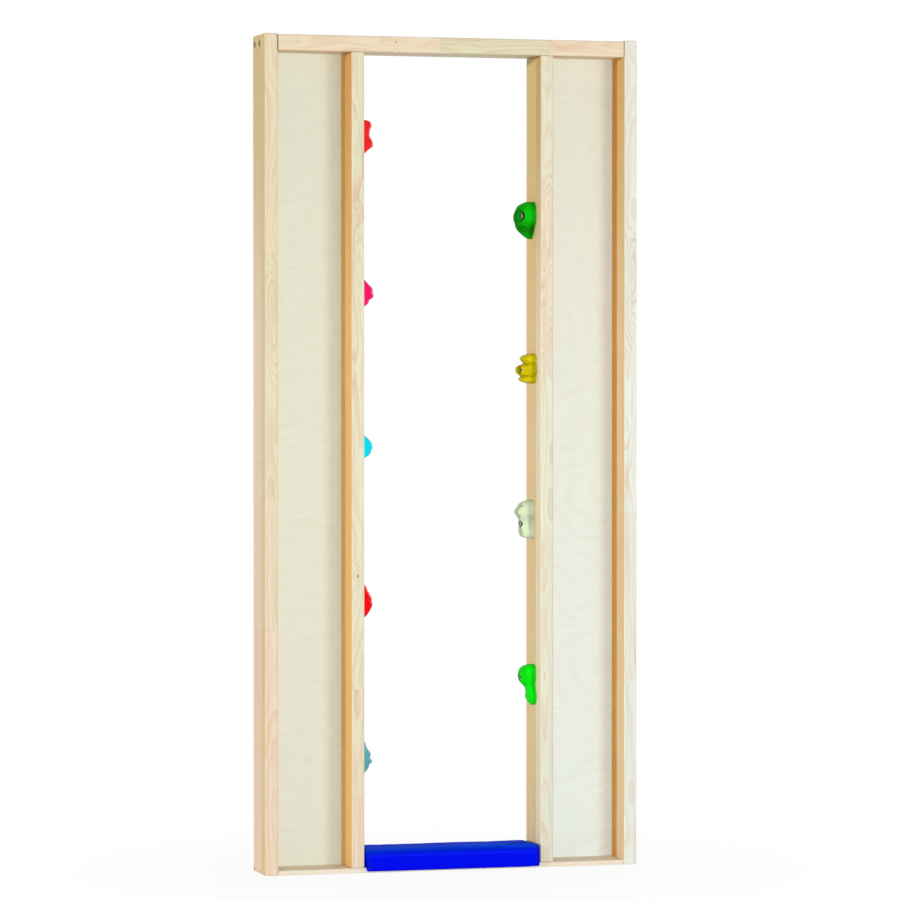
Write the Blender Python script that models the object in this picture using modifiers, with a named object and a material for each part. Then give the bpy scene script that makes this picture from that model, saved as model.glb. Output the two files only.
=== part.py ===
"""Climbing frame: two panelled bays beside a climbing passage, with nine bolt-on holds and a mat.

Metres, +Z up. The front faces -Y and +X is to the right seen from the front. The origin is on the
floor, in the middle of the frame.
"""

import math

import bmesh
import bpy
import numpy as np
from mathutils import Vector

# Frame
FRAME_HEIGHT = 2.000
FRAME_DEPTH = 0.120
POST_WIDTH = 0.032
BAY_WIDTH = 0.180
PASSAGE_WIDTH = 0.440
HEADER_THICKNESS = 0.038
HEADER_DROP = 0.002
BASE_THICKNESS = 0.012
EDGE_RADIUS = 0.0025
BASE_EDGE_RADIUS = 0.0010
EDGE_SEGMENTS = 2

# Plywood panels, let into grooves in the posts, the header and the base plate
PANEL_THICKNESS = 0.009
PANEL_TO_BACK = 0.016
GROOVE_DEPTH = 0.008
HEADER_GROOVE_DEPTH = 0.006
BASE_GROOVE_DEPTH = 0.004

# Countersunk wood screws
SCREW_LENGTH = 0.060
SCREW_RADIUS = 0.0020
SCREW_HEAD_RADIUS = 0.0041
SCREW_HEAD_HEIGHT = 0.0026
SCREW_POINT_LENGTH = 0.006
SCREW_STEPS = 12

# Timber screws with a flat head, through the outer posts into the header
TIMBER_SCREW_LENGTH = 0.080
TIMBER_SCREW_RADIUS = 0.0030
TIMBER_SCREW_HEAD_RADIUS = 0.0085
TIMBER_SCREW_HEAD_HEIGHT = 0.0022
TIMBER_SCREW_POINT_LENGTH = 0.009
TIMBER_SCREW_STEPS = 14

# Where the screws stand: below their face, from the front and from the back, and behind the panels
SCREW_SINK = 0.0004
FRONT_SCREW_INSET = 0.054
REAR_SCREW_INSET = 0.018
SCREW_BEHIND_PANEL = 0.005

# Hold fixings: cap bolt, washer, and a threaded sleeve in the post
BOLT_RADIUS = 0.0050
BOLT_HEAD_RADIUS = 0.0080
BOLT_HEAD_HEIGHT = 0.0100
BOLT_CHAMFER = 0.0008
BOLT_ENGAGEMENT = 0.020
SOCKET_ACROSS_FLATS = 0.008
SOCKET_DEPTH = 0.005
WASHER_RADIUS = 0.0094
WASHER_THICKNESS = 0.0020
SLEEVE_RADIUS = 0.0080
SLEEVE_LENGTH = 0.022
SLEEVE_SINK = 0.0010
BORE_CLEARANCE = 0.0005
TURNED_STEPS = 16

# Holds
RECESS_CLEARANCE = 0.0006
HOLD_FOOT_HEIGHT = 0.003
HOLD_SECTION_POWER = 2.2
HOLD_ANGLES = 26
HOLD_RINGS = 7
OUTLINE_SAMPLES = 120
END_SAMPLES = 21
LEFT_HOLDS = 5
RIGHT_HOLDS = 4
LEFT_COLUMN_MIDDLE_Z = 1.01700
RIGHT_COLUMN_MIDDLE_Z = 1.01575
HOLD_PITCH = 0.3725

# Landing mat, lying on the base plate between the inner posts
MAT_HEIGHT = 0.055
MAT_OVERHANG = 0.013
MAT_END_GAP = 0.003
MAT_TOP_RADIUS = 0.009
MAT_FOOT_RADIUS = 0.003
MAT_CROWN = 0.003
MAT_END_TUCK = 0.003
MAT_FLOOR_GAP = 0.0008
MAT_CELLS = (14, 4, 2)
MAT_CROWN_FALL = (4, 2)

# Faces that touch are this far apart
GAP = 0.0003
# A cutter runs this far past the face that it opens
OVERRUN = 0.004
CRISP_ANGLE = math.radians(55)

PINE = (0.80, 0.68, 0.45)
PLYWOOD = (0.76, 0.73, 0.60)
STEEL = (0.55, 0.55, 0.56)
ZINC = (0.48, 0.44, 0.36)
VINYL_BLUE = (0.005, 0.012, 0.62)

# Each row is a section across a hold, in millimetres, top row first: height above the bolt, how far
# the hold stands off the post there, and how far it reaches from the bolt line to front and back.
# The lean moves the crest towards the front, as a share of the section's half width.
# A dish: its centre towards the front and above the bolt, its radius and its depth.
HOLDS = {
    "left_1_red": {
        "colour": (1.00, 0.025, 0.030), "seat": 15, "lean": 0.0,
        "rows": ((41, 8, 8, 8), (37, 25, 18, 18), (32, 31, 22, 22), (26, 33, 25, 25),
                 (17, 30, 26, 26), (5, 28, 24, 24), (-2, 29, 25, 25), (-12, 34, 28, 28),
                 (-19, 36, 28, 28), (-26, 34, 26, 26), (-33, 24, 22, 22), (-41, 15, 16, 16),
                 (-47, 6, 8, 8)),
        "dishes": ()},
    "left_2_pink": {
        "colour": (1.00, 0.008, 0.160), "seat": 18, "lean": 0.0,
        "rows": ((39, 6, 8, 8), (28, 16, 20, 20), (16, 27, 27, 27), (10, 33, 29, 29),
                 (7, 35, 30, 30), (-4, 36, 30, 30), (-10, 37, 30, 30), (-15, 34, 29, 29),
                 (-19, 28, 27, 27), (-26, 25, 25, 25), (-37, 14, 18, 18), (-46, 6, 8, 8)),
        "dishes": ()},
    "left_3_cyan": {
        "colour": (0.00, 0.70, 0.85), "seat": 18, "lean": 0.0,
        "rows": ((37, 5, 8, 8), (27, 16, 20, 20), (17, 28, 26, 26), (7, 34, 29, 29),
                 (0, 35, 30, 30), (-7, 32, 29, 29), (-19, 26, 25, 25), (-26, 15, 19, 19),
                 (-33, 5, 8, 8)),
        "dishes": ()},
    "left_4_crimson": {
        "colour": (0.92, 0.002, 0.006), "seat": 18, "lean": 0.0,
        "rows": ((59, 5, 7, 7), (45, 14, 16, 16), (33, 21, 22, 22), (25, 25, 25, 25),
                 (15, 30, 28, 28), (4, 33, 30, 30), (-4, 34, 31, 31), (-11, 32, 30, 30),
                 (-26, 24, 25, 25), (-36, 15, 18, 18), (-44, 5, 8, 8)),
        "dishes": ()},
    "left_5_petrol": {
        "colour": (0.10, 0.37, 0.39), "seat": 15, "lean": 0.0,
        "rows": ((50, 5, 7, 7), (38, 15, 16, 16), (21, 22, 24, 24), (12, 28, 27, 27),
                 (7, 30, 28, 28), (0, 28, 28, 28), (-9, 33, 30, 30), (-13, 31, 29, 29),
                 (-17, 27, 28, 28), (-25, 24, 25, 25), (-37, 14, 18, 18), (-45, 5, 8, 8)),
        "dishes": ()},
    "right_1_green": {
        "colour": (0.00, 0.22, 0.002), "seat": 18, "lean": -0.50,
        "rows": ((35, 18, 9, 15), (28, 31, 18, 24), (14, 40.5, 24, 30), (3, 44, 26, 32),
                 (-9, 44, 25, 32), (-25, 38.5, 19, 28), (-38, 30, 13, 21), (-47, 21, 9, 15),
                 (-53, 13, 6, 9), (-56, 6, 3, 4)),
        "dishes": ((2, 0, 12.5, 18),)},
    "right_2_yellow": {
        "colour": (0.60, 0.48, 0.000), "seat": 19, "lean": -0.45,
        "rows": ((40, 10, 10, 10), (36, 22, 22, 20), (27, 31, 27, 25), (21, 26, 28, 26),
                 (16, 24, 23, 23), (10, 37, 28, 26), (0, 40.5, 30, 28), (-9, 38.5, 28, 26),
                 (-15, 31, 23, 22), (-21, 34, 26, 24), (-28, 29, 21, 20), (-33, 13, 9, 9)),
        "dishes": ((1, 0, 11, 12),)},
    "right_3_cream": {
        "colour": (0.63, 0.75, 0.48), "seat": 22, "lean": -0.45,
        "rows": ((58, 8, 3, 8), (53, 24, 7, 17), (48, 31, 9, 21), (38, 37, 11, 25),
                 (31, 42, 12, 27), (25, 42, 13, 28), (17, 36, 13.5, 28), (8, 32, 14, 28),
                 (0, 31, 14, 28), (-12, 31, 14, 28), (-24, 30.5, 13, 26), (-32, 26, 11, 20),
                 (-37, 12, 6, 10)),
        "dishes": ((6, 43, 5, 4),)},
    "right_4_lime": {
        "colour": (0.00, 0.78, 0.000), "seat": 19, "lean": -0.25,
        "rows": ((31, 11, 10, 12), (27, 22, 18, 20), (22, 29, 22, 25), (12, 35, 24, 29),
                 (2, 36.5, 24, 30), (-8, 33.5, 22, 27), (-16, 28.5, 19, 21), (-23, 22.5, 19, 17),
                 (-30, 19.5, 22, 16), (-38, 19, 27, 17), (-47, 19, 30, 17), (-55, 17, 28, 12),
                 (-63, 12, 21, 3), (-68, 7, 13, -4)),
        "dishes": ((7, 0, 11, 5),)},
}

OPEN_HALF = PASSAGE_WIDTH / 2
INNER_POST_X = OPEN_HALF + POST_WIDTH / 2
OUTER_POST_X = OPEN_HALF + POST_WIDTH + BAY_WIDTH + POST_WIDTH / 2
BAY_CENTRE_X = OPEN_HALF + POST_WIDTH + BAY_WIDTH / 2
INSIDE_HALF = OUTER_POST_X - POST_WIDTH / 2
OUTSIDE_HALF = OUTER_POST_X + POST_WIDTH / 2
HEADER_TOP = FRAME_HEIGHT - HEADER_DROP
HEADER_BOTTOM = HEADER_TOP - HEADER_THICKNESS
PANEL_BACK_Y = FRAME_DEPTH / 2 - PANEL_TO_BACK
PANEL_FRONT_Y = PANEL_BACK_Y - PANEL_THICKNESS
SCREW_ROWS_Y = (-FRAME_DEPTH / 2 + FRONT_SCREW_INSET, FRAME_DEPTH / 2 - REAR_SCREW_INSET)
BASE_SCREW_ROWS_Y = (SCREW_ROWS_Y[0], PANEL_BACK_Y + SCREW_BEHIND_PANEL)
BORE_RADIUS = BOLT_RADIUS + BORE_CLEARANCE
RECESS_RADIUS = max(WASHER_RADIUS, BOLT_HEAD_RADIUS) + RECESS_CLEARANCE


def clear_scene():
    for item in list(bpy.data.objects):
        bpy.data.objects.remove(item, do_unlink=True)


def new_collection(name):
    collection = bpy.data.collections.new(name)
    bpy.context.scene.collection.children.link(collection)
    return collection


def principled(name, colour, roughness, metallic=0.0):
    material = bpy.data.materials.new(name)
    material.use_nodes = True
    shader = material.node_tree.nodes["Principled BSDF"]
    shader.inputs["Base Color"].default_value = (*colour, 1.0)
    shader.inputs["Roughness"].default_value = roughness
    shader.inputs["Metallic"].default_value = metallic
    return material


def finish(item, collection, material=None):
    """Put an object in its collection and give it its material."""
    for old in list(item.users_collection):
        old.objects.unlink(item)
    collection.objects.link(item)
    if material:
        item.data.materials.append(material)


def as_cutter(item, collection):
    """Put an object among the cutters, drawn as wires and left out of the model."""
    finish(item, collection)
    item.hide_render = True
    item.display_type = "WIRE"


def subtract(item, cutter):
    """Take one cutter of its own out of a piece."""
    as_cutter(cutter, piece_cutters)
    boolean = item.modifiers.new(cutter.name, "BOOLEAN")
    boolean.operation = "DIFFERENCE"
    boolean.object = cutter
    boolean.solver = "EXACT"


def box(name, low, high):
    """A box between two corners, with its origin at its centre."""
    low, high = Vector(low), Vector(high)
    mesh = bpy.data.meshes.new(name)
    shape = bmesh.new()
    bmesh.ops.create_cube(shape, size=1.0)
    bmesh.ops.scale(shape, vec=high - low, verts=shape.verts)
    shape.to_mesh(mesh)
    shape.free()
    item = bpy.data.objects.new(name, mesh)
    item.location = (low + high) / 2
    bpy.context.scene.collection.objects.link(item)
    return item


def round_edges(item, radius):
    bevel = item.modifiers.new("rounded_edges", "BEVEL")
    bevel.width = radius
    bevel.segments = EDGE_SEGMENTS


def cut_joinery(item):
    """Take every groove and hole of the frame that reaches a piece out of it."""
    boolean = item.modifiers.new("joinery", "BOOLEAN")
    boolean.operation = "DIFFERENCE"
    boolean.operand_type = "COLLECTION"
    boolean.collection = frame_cutters
    boolean.solver = "EXACT"


def shade_round(item):
    """Smooth shading, with only the sharper edges left crisp."""
    item.data.shade_smooth()
    item.data.set_sharp_from_angle(angle=CRISP_ANGLE)


def turned(name, profile, closed, steps):
    """A turned piece: a profile of radius and height, carried once round Z by a Screw modifier."""
    mesh = bpy.data.meshes.new(name)
    points = [(radius, 0.0, height) for radius, height in profile]
    edges = [(i, i + 1) for i in range(len(points) - 1)]
    if closed:
        edges.append((len(points) - 1, 0))
    mesh.from_pydata(points, edges, [])
    item = bpy.data.objects.new(name, mesh)
    bpy.context.scene.collection.objects.link(item)
    screw = item.modifiers.new("turned", "SCREW")
    screw.axis = "Z"
    screw.steps = steps
    screw.render_steps = steps
    screw.use_merge_vertices = True
    screw.merge_threshold = 0.00001
    screw.use_smooth_shade = True
    return item


def point_along(item, place, direction):
    """Stand a turned piece at a place with its own +Z along a direction."""
    item.location = place
    item.rotation_mode = "QUATERNION"
    item.rotation_quaternion = Vector(direction).to_track_quat("Z", "Y")
    return item


def screw_profile(grow, past_head):
    """A countersunk screw from its head, at height 0, to its point, grown by a clearance."""
    head = SCREW_HEAD_RADIUS + grow
    shank = SCREW_RADIUS + grow
    top = [(0.0, past_head), (head, past_head)]
    if past_head > 0:
        top.append((head, 0.0))
    return top + [
        (shank, -SCREW_HEAD_HEIGHT - grow),
        (shank, -SCREW_LENGTH + SCREW_POINT_LENGTH - grow),
        (0.0, -SCREW_LENGTH - grow),
    ]


def timber_screw_profile(grow, past_head):
    """A timber screw from the top of its flat head to its point, grown by a clearance."""
    head = TIMBER_SCREW_HEAD_RADIUS + grow
    shank = TIMBER_SCREW_RADIUS + grow
    under = -TIMBER_SCREW_HEAD_HEIGHT - grow
    return [
        (0.0, past_head), (head, past_head), (head, under), (shank, under),
        (shank, -TIMBER_SCREW_LENGTH + TIMBER_SCREW_POINT_LENGTH - grow),
        (0.0, -TIMBER_SCREW_LENGTH - grow),
    ]


def add_screw(name, face_point, outward, profile=screw_profile, steps=SCREW_STEPS):
    """A screw sunk in a face, and the cutter for its hole."""
    outward = Vector(outward)
    head_place = Vector(face_point) - outward * SCREW_SINK
    screw = turned(name, profile(0.0, 0.0), False, steps)
    point_along(screw, head_place, outward)
    finish(screw, model, principled(name, ZINC, 0.35, 1.0))
    hole = turned(name + "_hole", profile(GAP, OVERRUN), False, steps)
    as_cutter(point_along(hole, head_place, outward), frame_cutters)


def add_screws():
    """Screws through the outer posts into header and base plate, and along the inner posts."""
    header_z = (HEADER_TOP + HEADER_BOTTOM) / 2
    for side, label in ((-1, "left"), (1, "right")):
        outside = side * OUTSIDE_HALF
        inner = side * INNER_POST_X
        for number, y in enumerate(SCREW_ROWS_Y, start=1):
            add_screw(f"screw_header_{label}_{number}", (outside, y, header_z), (side, 0, 0),
                      timber_screw_profile, TIMBER_SCREW_STEPS)
            add_screw(f"screw_inner_top_{label}_{number}", (inner, y, HEADER_TOP), (0, 0, 1))
        for number, y in enumerate(BASE_SCREW_ROWS_Y, start=1):
            add_screw(f"screw_base_{label}_{number}", (outside, y, BASE_THICKNESS / 2), (side, 0, 0))
        add_screw(f"screw_inner_foot_{label}", (inner, 0, 0), (0, 0, -1))


def panel_box(name, side, clearance):
    """A panel with its tongues in the grooves, grown by a clearance all round."""
    half = BAY_WIDTH / 2 + GROOVE_DEPTH - GAP + clearance
    low_z = BASE_THICKNESS - BASE_GROOVE_DEPTH + GAP - clearance
    high_z = HEADER_BOTTOM + HEADER_GROOVE_DEPTH - GAP + clearance
    low_y = PANEL_FRONT_Y - clearance
    high_y = PANEL_FRONT_Y + PANEL_THICKNESS + clearance
    centre = side * BAY_CENTRE_X
    return box(name, (centre - half, low_y, low_z), (centre + half, high_y, high_z))


def add_panels():
    for side, label in ((-1, "left"), (1, "right")):
        name = f"panel_{label}"
        finish(panel_box(name, side, 0.0), model, principled(name, PLYWOOD, 0.5))
        as_cutter(panel_box(name + "_groove", side, GAP), frame_cutters)


def add_frame():
    """Outer posts over the full height, inner posts between base plate and header."""
    half_depth = FRAME_DEPTH / 2
    pieces = {}
    for side, label in ((-1, "left"), (1, "right")):
        outer = side * OUTER_POST_X
        inner = side * INNER_POST_X
        half = POST_WIDTH / 2
        pieces[f"post_outer_{label}"] = (
            (outer - half, -half_depth, 0), (outer + half, half_depth, FRAME_HEIGHT), EDGE_RADIUS)
        pieces[f"post_inner_{label}"] = (
            (inner - half, -half_depth, BASE_THICKNESS + GAP),
            (inner + half, half_depth, HEADER_BOTTOM - GAP), EDGE_RADIUS)
    reach = INSIDE_HALF - GAP
    pieces["header_rail"] = (
        (-reach, -half_depth, HEADER_BOTTOM), (reach, half_depth, HEADER_TOP), EDGE_RADIUS)
    pieces["base_plate"] = (
        (-reach, -half_depth, 0), (reach, half_depth, BASE_THICKNESS), BASE_EDGE_RADIUS)
    for name, (low, high, radius) in pieces.items():
        piece = box(name, low, high)
        round_edges(piece, radius)
        cut_joinery(piece)
        finish(piece, model, principled(name, PINE, 0.5))


def smooth_curve(at, places, values):
    """A smooth curve through points, as a cubic whose slopes come from each point's neighbours."""
    slopes = np.gradient(values, places)
    index = np.clip(np.searchsorted(places, at) - 1, 0, len(places) - 2)
    span = places[index + 1] - places[index]
    t = np.clip((at - places[index]) / span, 0.0, 1.0)
    return ((2 * t**3 - 3 * t**2 + 1) * values[index]
            + (t**3 - 2 * t**2 + t) * span * slopes[index]
            + (3 * t**2 - 2 * t**3) * values[index + 1]
            + (t**3 - t**2) * span * slopes[index + 1])


def hold_sections(spec):
    """A hold's rows as functions of the height above the bolt, lowest first, in metres."""
    rows = np.array(spec["rows"][::-1], dtype=float) / 1000
    places = rows[:, 0]
    return places, [lambda at, k=k: smooth_curve(at, places, rows[:, k]) for k in (1, 2, 3)]


def hold_outline(spec):
    """The radius of a hold's foot for each angle round the bolt, from the front edge upwards."""
    places, (_, front, back) = hold_sections(spec)
    heights = np.linspace(places[0], places[-1], OUTLINE_SAMPLES)
    sides = [np.column_stack([front(heights), heights]), np.column_stack([-back(heights), heights])]
    for end in places[[0, -1]]:
        across = np.linspace(-back(end), front(end), END_SAMPLES)
        sides.append(np.column_stack([across, np.full_like(across, end)]))
    loop = np.vstack(sides)
    angles = np.arctan2(loop[:, 1], loop[:, 0])
    order = np.argsort(angles)
    radii = np.hypot(loop[:, 0], loop[:, 1])
    wanted = np.linspace(0, 2 * math.pi, HOLD_ANGLES, endpoint=False)
    return wanted, np.interp(wanted, angles[order], radii[order], period=2 * math.pi)


def hold_height(spec, forward, upward):
    """How far the surface stands off the post: a rounded section from its crest to either edge."""
    places, (crown, front, back) = hold_sections(spec)
    at = np.clip(upward, places[0], places[-1])
    middle = (front(at) - back(at)) / 2
    half = (front(at) + back(at)) / 2
    offset = (forward - middle) / half
    lean = spec["lean"]
    reach = np.where(offset > lean, 1 - lean, 1 + lean)
    share = np.clip(np.abs(offset - lean) / reach, 0.0, 1.0)
    height = HOLD_FOOT_HEIGHT + (crown(at) - HOLD_FOOT_HEIGHT) * np.sqrt(1 - share**HOLD_SECTION_POWER)
    for dish_forward, dish_upward, radius, depth in spec["dishes"]:
        away = (forward * 1000 - dish_forward) ** 2 + (upward * 1000 - dish_upward) ** 2
        height -= depth / 1000 * np.exp(-away / radius**2)
    return np.maximum(height, HOLD_FOOT_HEIGHT)


def hold_mesh(name, spec, side):
    """A hold as rings round its bolt: bore, seat, recess wall, outer surface and flat back."""
    angles, outline = hold_outline(spec)
    cosine, sine = np.cos(angles), np.sin(angles)
    seat = spec["seat"] / 1000
    rings = [(np.full_like(angles, BORE_RADIUS), np.zeros_like(angles)),
             (np.full_like(angles, BORE_RADIUS), np.full_like(angles, seat)),
             (np.full_like(angles, RECESS_RADIUS), np.full_like(angles, seat))]
    for step in range(HOLD_RINGS + 1):
        share = math.sin(step / HOLD_RINGS * math.pi / 2)
        radius = RECESS_RADIUS + share * (outline - RECESS_RADIUS)
        rings.append((radius, hold_height(spec, radius * cosine, radius * sine)))
    rings.append((outline, np.zeros_like(angles)))

    shape = bmesh.new()
    loops = []
    for radius, height in rings:
        points = np.column_stack([-side * height, -radius * cosine, radius * sine])
        loops.append([shape.verts.new(point) for point in points])
    for inner, outer in zip(loops, loops[1:] + loops[:1]):
        for i in range(HOLD_ANGLES):
            after = (i + 1) % HOLD_ANGLES
            shape.faces.new((inner[i], inner[after], outer[after], outer[i]))
    bmesh.ops.recalc_face_normals(shape, faces=shape.faces)
    mesh = bpy.data.meshes.new(name)
    shape.to_mesh(mesh)
    shape.free()
    return mesh


def add_bolt(name, seat, place, outward):
    """A cap bolt through a hold's washer into the sleeve, with its hexagon socket cut out."""
    under = seat + WASHER_THICKNESS + 2 * GAP
    top = under + BOLT_HEAD_HEIGHT
    bolt = turned(name, [
        (0.0, top), (BOLT_HEAD_RADIUS - BOLT_CHAMFER, top), (BOLT_HEAD_RADIUS, top - BOLT_CHAMFER),
        (BOLT_HEAD_RADIUS, under), (BOLT_RADIUS, under), (BOLT_RADIUS, BOLT_CHAMFER - BOLT_ENGAGEMENT),
        (BOLT_RADIUS - BOLT_CHAMFER, -BOLT_ENGAGEMENT), (0.0, -BOLT_ENGAGEMENT)], False, TURNED_STEPS)
    point_along(bolt, place, outward)
    socket = bmesh.new()
    bmesh.ops.create_cone(socket, cap_ends=True, segments=6, depth=2 * SOCKET_DEPTH,
                          radius1=SOCKET_ACROSS_FLATS / math.sqrt(3),
                          radius2=SOCKET_ACROSS_FLATS / math.sqrt(3))
    mesh = bpy.data.meshes.new(name + "_socket")
    socket.to_mesh(mesh)
    socket.free()
    cutter = bpy.data.objects.new(name + "_socket", mesh)
    point_along(cutter, Vector(place) + Vector(outward) * top, outward)
    subtract(bolt, cutter)
    finish(bolt, model, principled(name, STEEL, 0.3, 1.0))


def add_ring(name, inner, outer, bottom, top, place, outward):
    """A washer or sleeve: a closed profile carried round the bolt's axis."""
    ring = turned(name, [(outer, top), (outer, bottom), (inner, bottom), (inner, top)],
                  True, TURNED_STEPS)
    point_along(ring, place, outward)
    finish(ring, model, principled(name, STEEL, 0.35, 1.0))


def add_hold(label, spec, z):
    """A hold on the passage side of an inner post, its origin on its bolt's axis."""
    side = -1 if label.startswith("left") else 1
    face_x = side * OPEN_HALF
    outward = (-side, 0, 0)
    seat = spec["seat"] / 1000
    name = f"hold_{label}"
    hold = bpy.data.objects.new(name, hold_mesh(name, spec, side))
    hold.location = (face_x - side * GAP, 0, z)
    shade_round(hold)
    finish(hold, model, principled(name, spec["colour"], 0.45))
    place = (face_x - side * GAP, 0, z)
    add_ring(name + "_washer", BORE_RADIUS, WASHER_RADIUS, seat + GAP,
             seat + GAP + WASHER_THICKNESS, place, outward)
    add_bolt(name + "_bolt", seat, place, outward)
    sleeve_top = -SLEEVE_SINK
    add_ring(name + "_sleeve", BORE_RADIUS, SLEEVE_RADIUS, sleeve_top - SLEEVE_LENGTH,
             sleeve_top, place, outward)
    hole_radius = SLEEVE_RADIUS + GAP
    hole_bottom = -SLEEVE_SINK - SLEEVE_LENGTH - GAP
    hole = turned(name + "_hole", [
        (0.0, OVERRUN), (hole_radius, OVERRUN), (hole_radius, hole_bottom), (0.0, hole_bottom)],
        False, TURNED_STEPS)
    as_cutter(point_along(hole, place, outward), frame_cutters)


def add_holds():
    """Five holds up the left inner post and four up the right one, half a pitch apart."""
    for label, spec in HOLDS.items():
        number = int(label.split("_")[1])
        if label.startswith("left"):
            z = LEFT_COLUMN_MIDDLE_Z + ((LEFT_HOLDS + 1) / 2 - number) * HOLD_PITCH
        else:
            z = RIGHT_COLUMN_MIDDLE_Z + ((RIGHT_HOLDS + 1) / 2 - number) * HOLD_PITCH
        add_hold(label, spec, z)


def mat_point(unit, half):
    """A point of the mat from a point of a cube: rounded edges, a crowned top and tucked ends."""
    radius = MAT_TOP_RADIUS if unit[2] > 0 else MAT_FOOT_RADIUS
    core = half - radius
    point = unit * half
    inside = np.clip(point, -core, core)
    spread = point - inside
    length = np.linalg.norm(spread)
    if length > 0:
        point = inside + spread / length * radius
    along, across = MAT_CROWN_FALL
    flatness = (1 - unit[0] ** along) * (1 - unit[1] ** across)
    point[2] -= MAT_CROWN * (1 - flatness) * max(unit[2], 0.0)
    point[0] *= 1 - MAT_END_TUCK / half[0] * unit[2] ** 2
    return point


def add_mat():
    """A foam mat on the base plate, flush behind, its front lip down to the floor before the plate."""
    height = MAT_HEIGHT - MAT_FLOOR_GAP
    half = np.array((OPEN_HALF - MAT_END_GAP, (FRAME_DEPTH + MAT_OVERHANG) / 2, height / 2))
    shape = bmesh.new()
    bmesh.ops.create_cube(shape, size=2.0)
    for axis, cells in enumerate(MAT_CELLS):
        normal = Vector(np.eye(3)[axis])
        inner = 1 - MAT_TOP_RADIUS / half[axis]
        for place in np.linspace(-inner, inner, cells + 1):
            everything = shape.verts[:] + shape.edges[:] + shape.faces[:]
            bmesh.ops.bisect_plane(shape, geom=everything, plane_co=normal * place, plane_no=normal)
    for vertex in shape.verts:
        vertex.co = mat_point(np.array(vertex.co), half)
    mesh = bpy.data.meshes.new("landing_mat")
    shape.to_mesh(mesh)
    shape.free()
    mat = bpy.data.objects.new("landing_mat", mesh)
    mat.location = (0, -MAT_OVERHANG / 2, MAT_FLOOR_GAP + height / 2)
    shade_round(mat)
    finish(mat, model, principled("landing_mat", VINYL_BLUE, 0.4))
    reach_x = half[0] + OVERRUN
    front_y = -FRAME_DEPTH / 2 - GAP
    back_y = FRAME_DEPTH / 2 + OVERRUN
    seat = box("mat_seat", (-reach_x, front_y, -OVERRUN), (reach_x, back_y, BASE_THICKNESS + GAP))
    subtract(mat, seat)


clear_scene()
model = new_collection("climbing_frame")
frame_cutters = new_collection("frame_cutters")
piece_cutters = new_collection("piece_cutters")
add_panels()
add_screws()
add_holds()
add_frame()
add_mat()
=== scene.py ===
"""Climbing frame with nine bolt-on holds and a landing mat: fine pieces, finishes, light and camera.

The timber, the panels and the threaded sleeves keep the frame's own shapes and get their finishes
here. Holds, bolts, washers, screws and mat are made anew as fine surfaces in the same places.
"""
import math

import bpy
import numpy as np
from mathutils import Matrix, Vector


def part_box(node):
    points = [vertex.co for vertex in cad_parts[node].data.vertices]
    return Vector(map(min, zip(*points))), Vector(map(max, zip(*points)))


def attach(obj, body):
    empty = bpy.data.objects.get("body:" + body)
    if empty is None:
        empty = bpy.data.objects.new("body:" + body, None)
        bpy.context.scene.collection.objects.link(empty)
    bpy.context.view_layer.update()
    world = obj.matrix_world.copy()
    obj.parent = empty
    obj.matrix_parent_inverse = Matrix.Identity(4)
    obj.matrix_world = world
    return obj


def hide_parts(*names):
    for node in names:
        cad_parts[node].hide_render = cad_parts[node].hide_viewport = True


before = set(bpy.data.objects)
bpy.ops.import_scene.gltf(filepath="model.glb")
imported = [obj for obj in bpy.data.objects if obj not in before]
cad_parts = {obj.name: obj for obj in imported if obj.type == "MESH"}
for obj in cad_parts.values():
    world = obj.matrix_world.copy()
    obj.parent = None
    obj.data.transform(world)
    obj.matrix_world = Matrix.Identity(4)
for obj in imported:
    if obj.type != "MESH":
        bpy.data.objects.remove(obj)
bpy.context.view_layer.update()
scene = bpy.context.scene

# Sizes that the pieces share with the frame, in metres
FRAME_HEIGHT = 2.0
PASSAGE_HALF = 0.220
POST_HALF = 0.016
STRIP_Y = -0.022
SHADE_Y = -0.004
GAP = 0.0003
BOLT_RADIUS = 0.0050
BOLT_HEAD_RADIUS = 0.0080
BOLT_HEAD_HEIGHT = 0.0100
BOLT_ENGAGEMENT = 0.020
SOCKET_ACROSS_FLATS = 0.008
SOCKET_DEPTH = 0.005
WASHER_RADIUS = 0.0094
WASHER_THICKNESS = 0.0020
BORE_RADIUS = 0.0055
RECESS_RADIUS = 0.0100
FOOT_HEIGHT = 0.003
SECTION_POWER = 2.2
SCREW_HEAD_RADIUS = 0.0041
SCREW_RADIUS = 0.0020
SCREW_LENGTH = 0.060
TIMBER_SCREW_HEAD_RADIUS = 0.0085
TIMBER_SCREW_HEAD_HEIGHT = 0.0022
TIMBER_SCREW_LENGTH = 0.080
BASE_THICKNESS = 0.012
MAT_HEIGHT = 0.055

# Sizes of what only the materials show
RING_WIDTH = 0.0034
TOOTH_WIDTH = 0.0022
SEAM_X = 0.2090

HOLD_ANGLES = 176
HOLD_RINGS = 54
BOLT_ANGLES = 192
SCREW_ANGLES = 80

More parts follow.
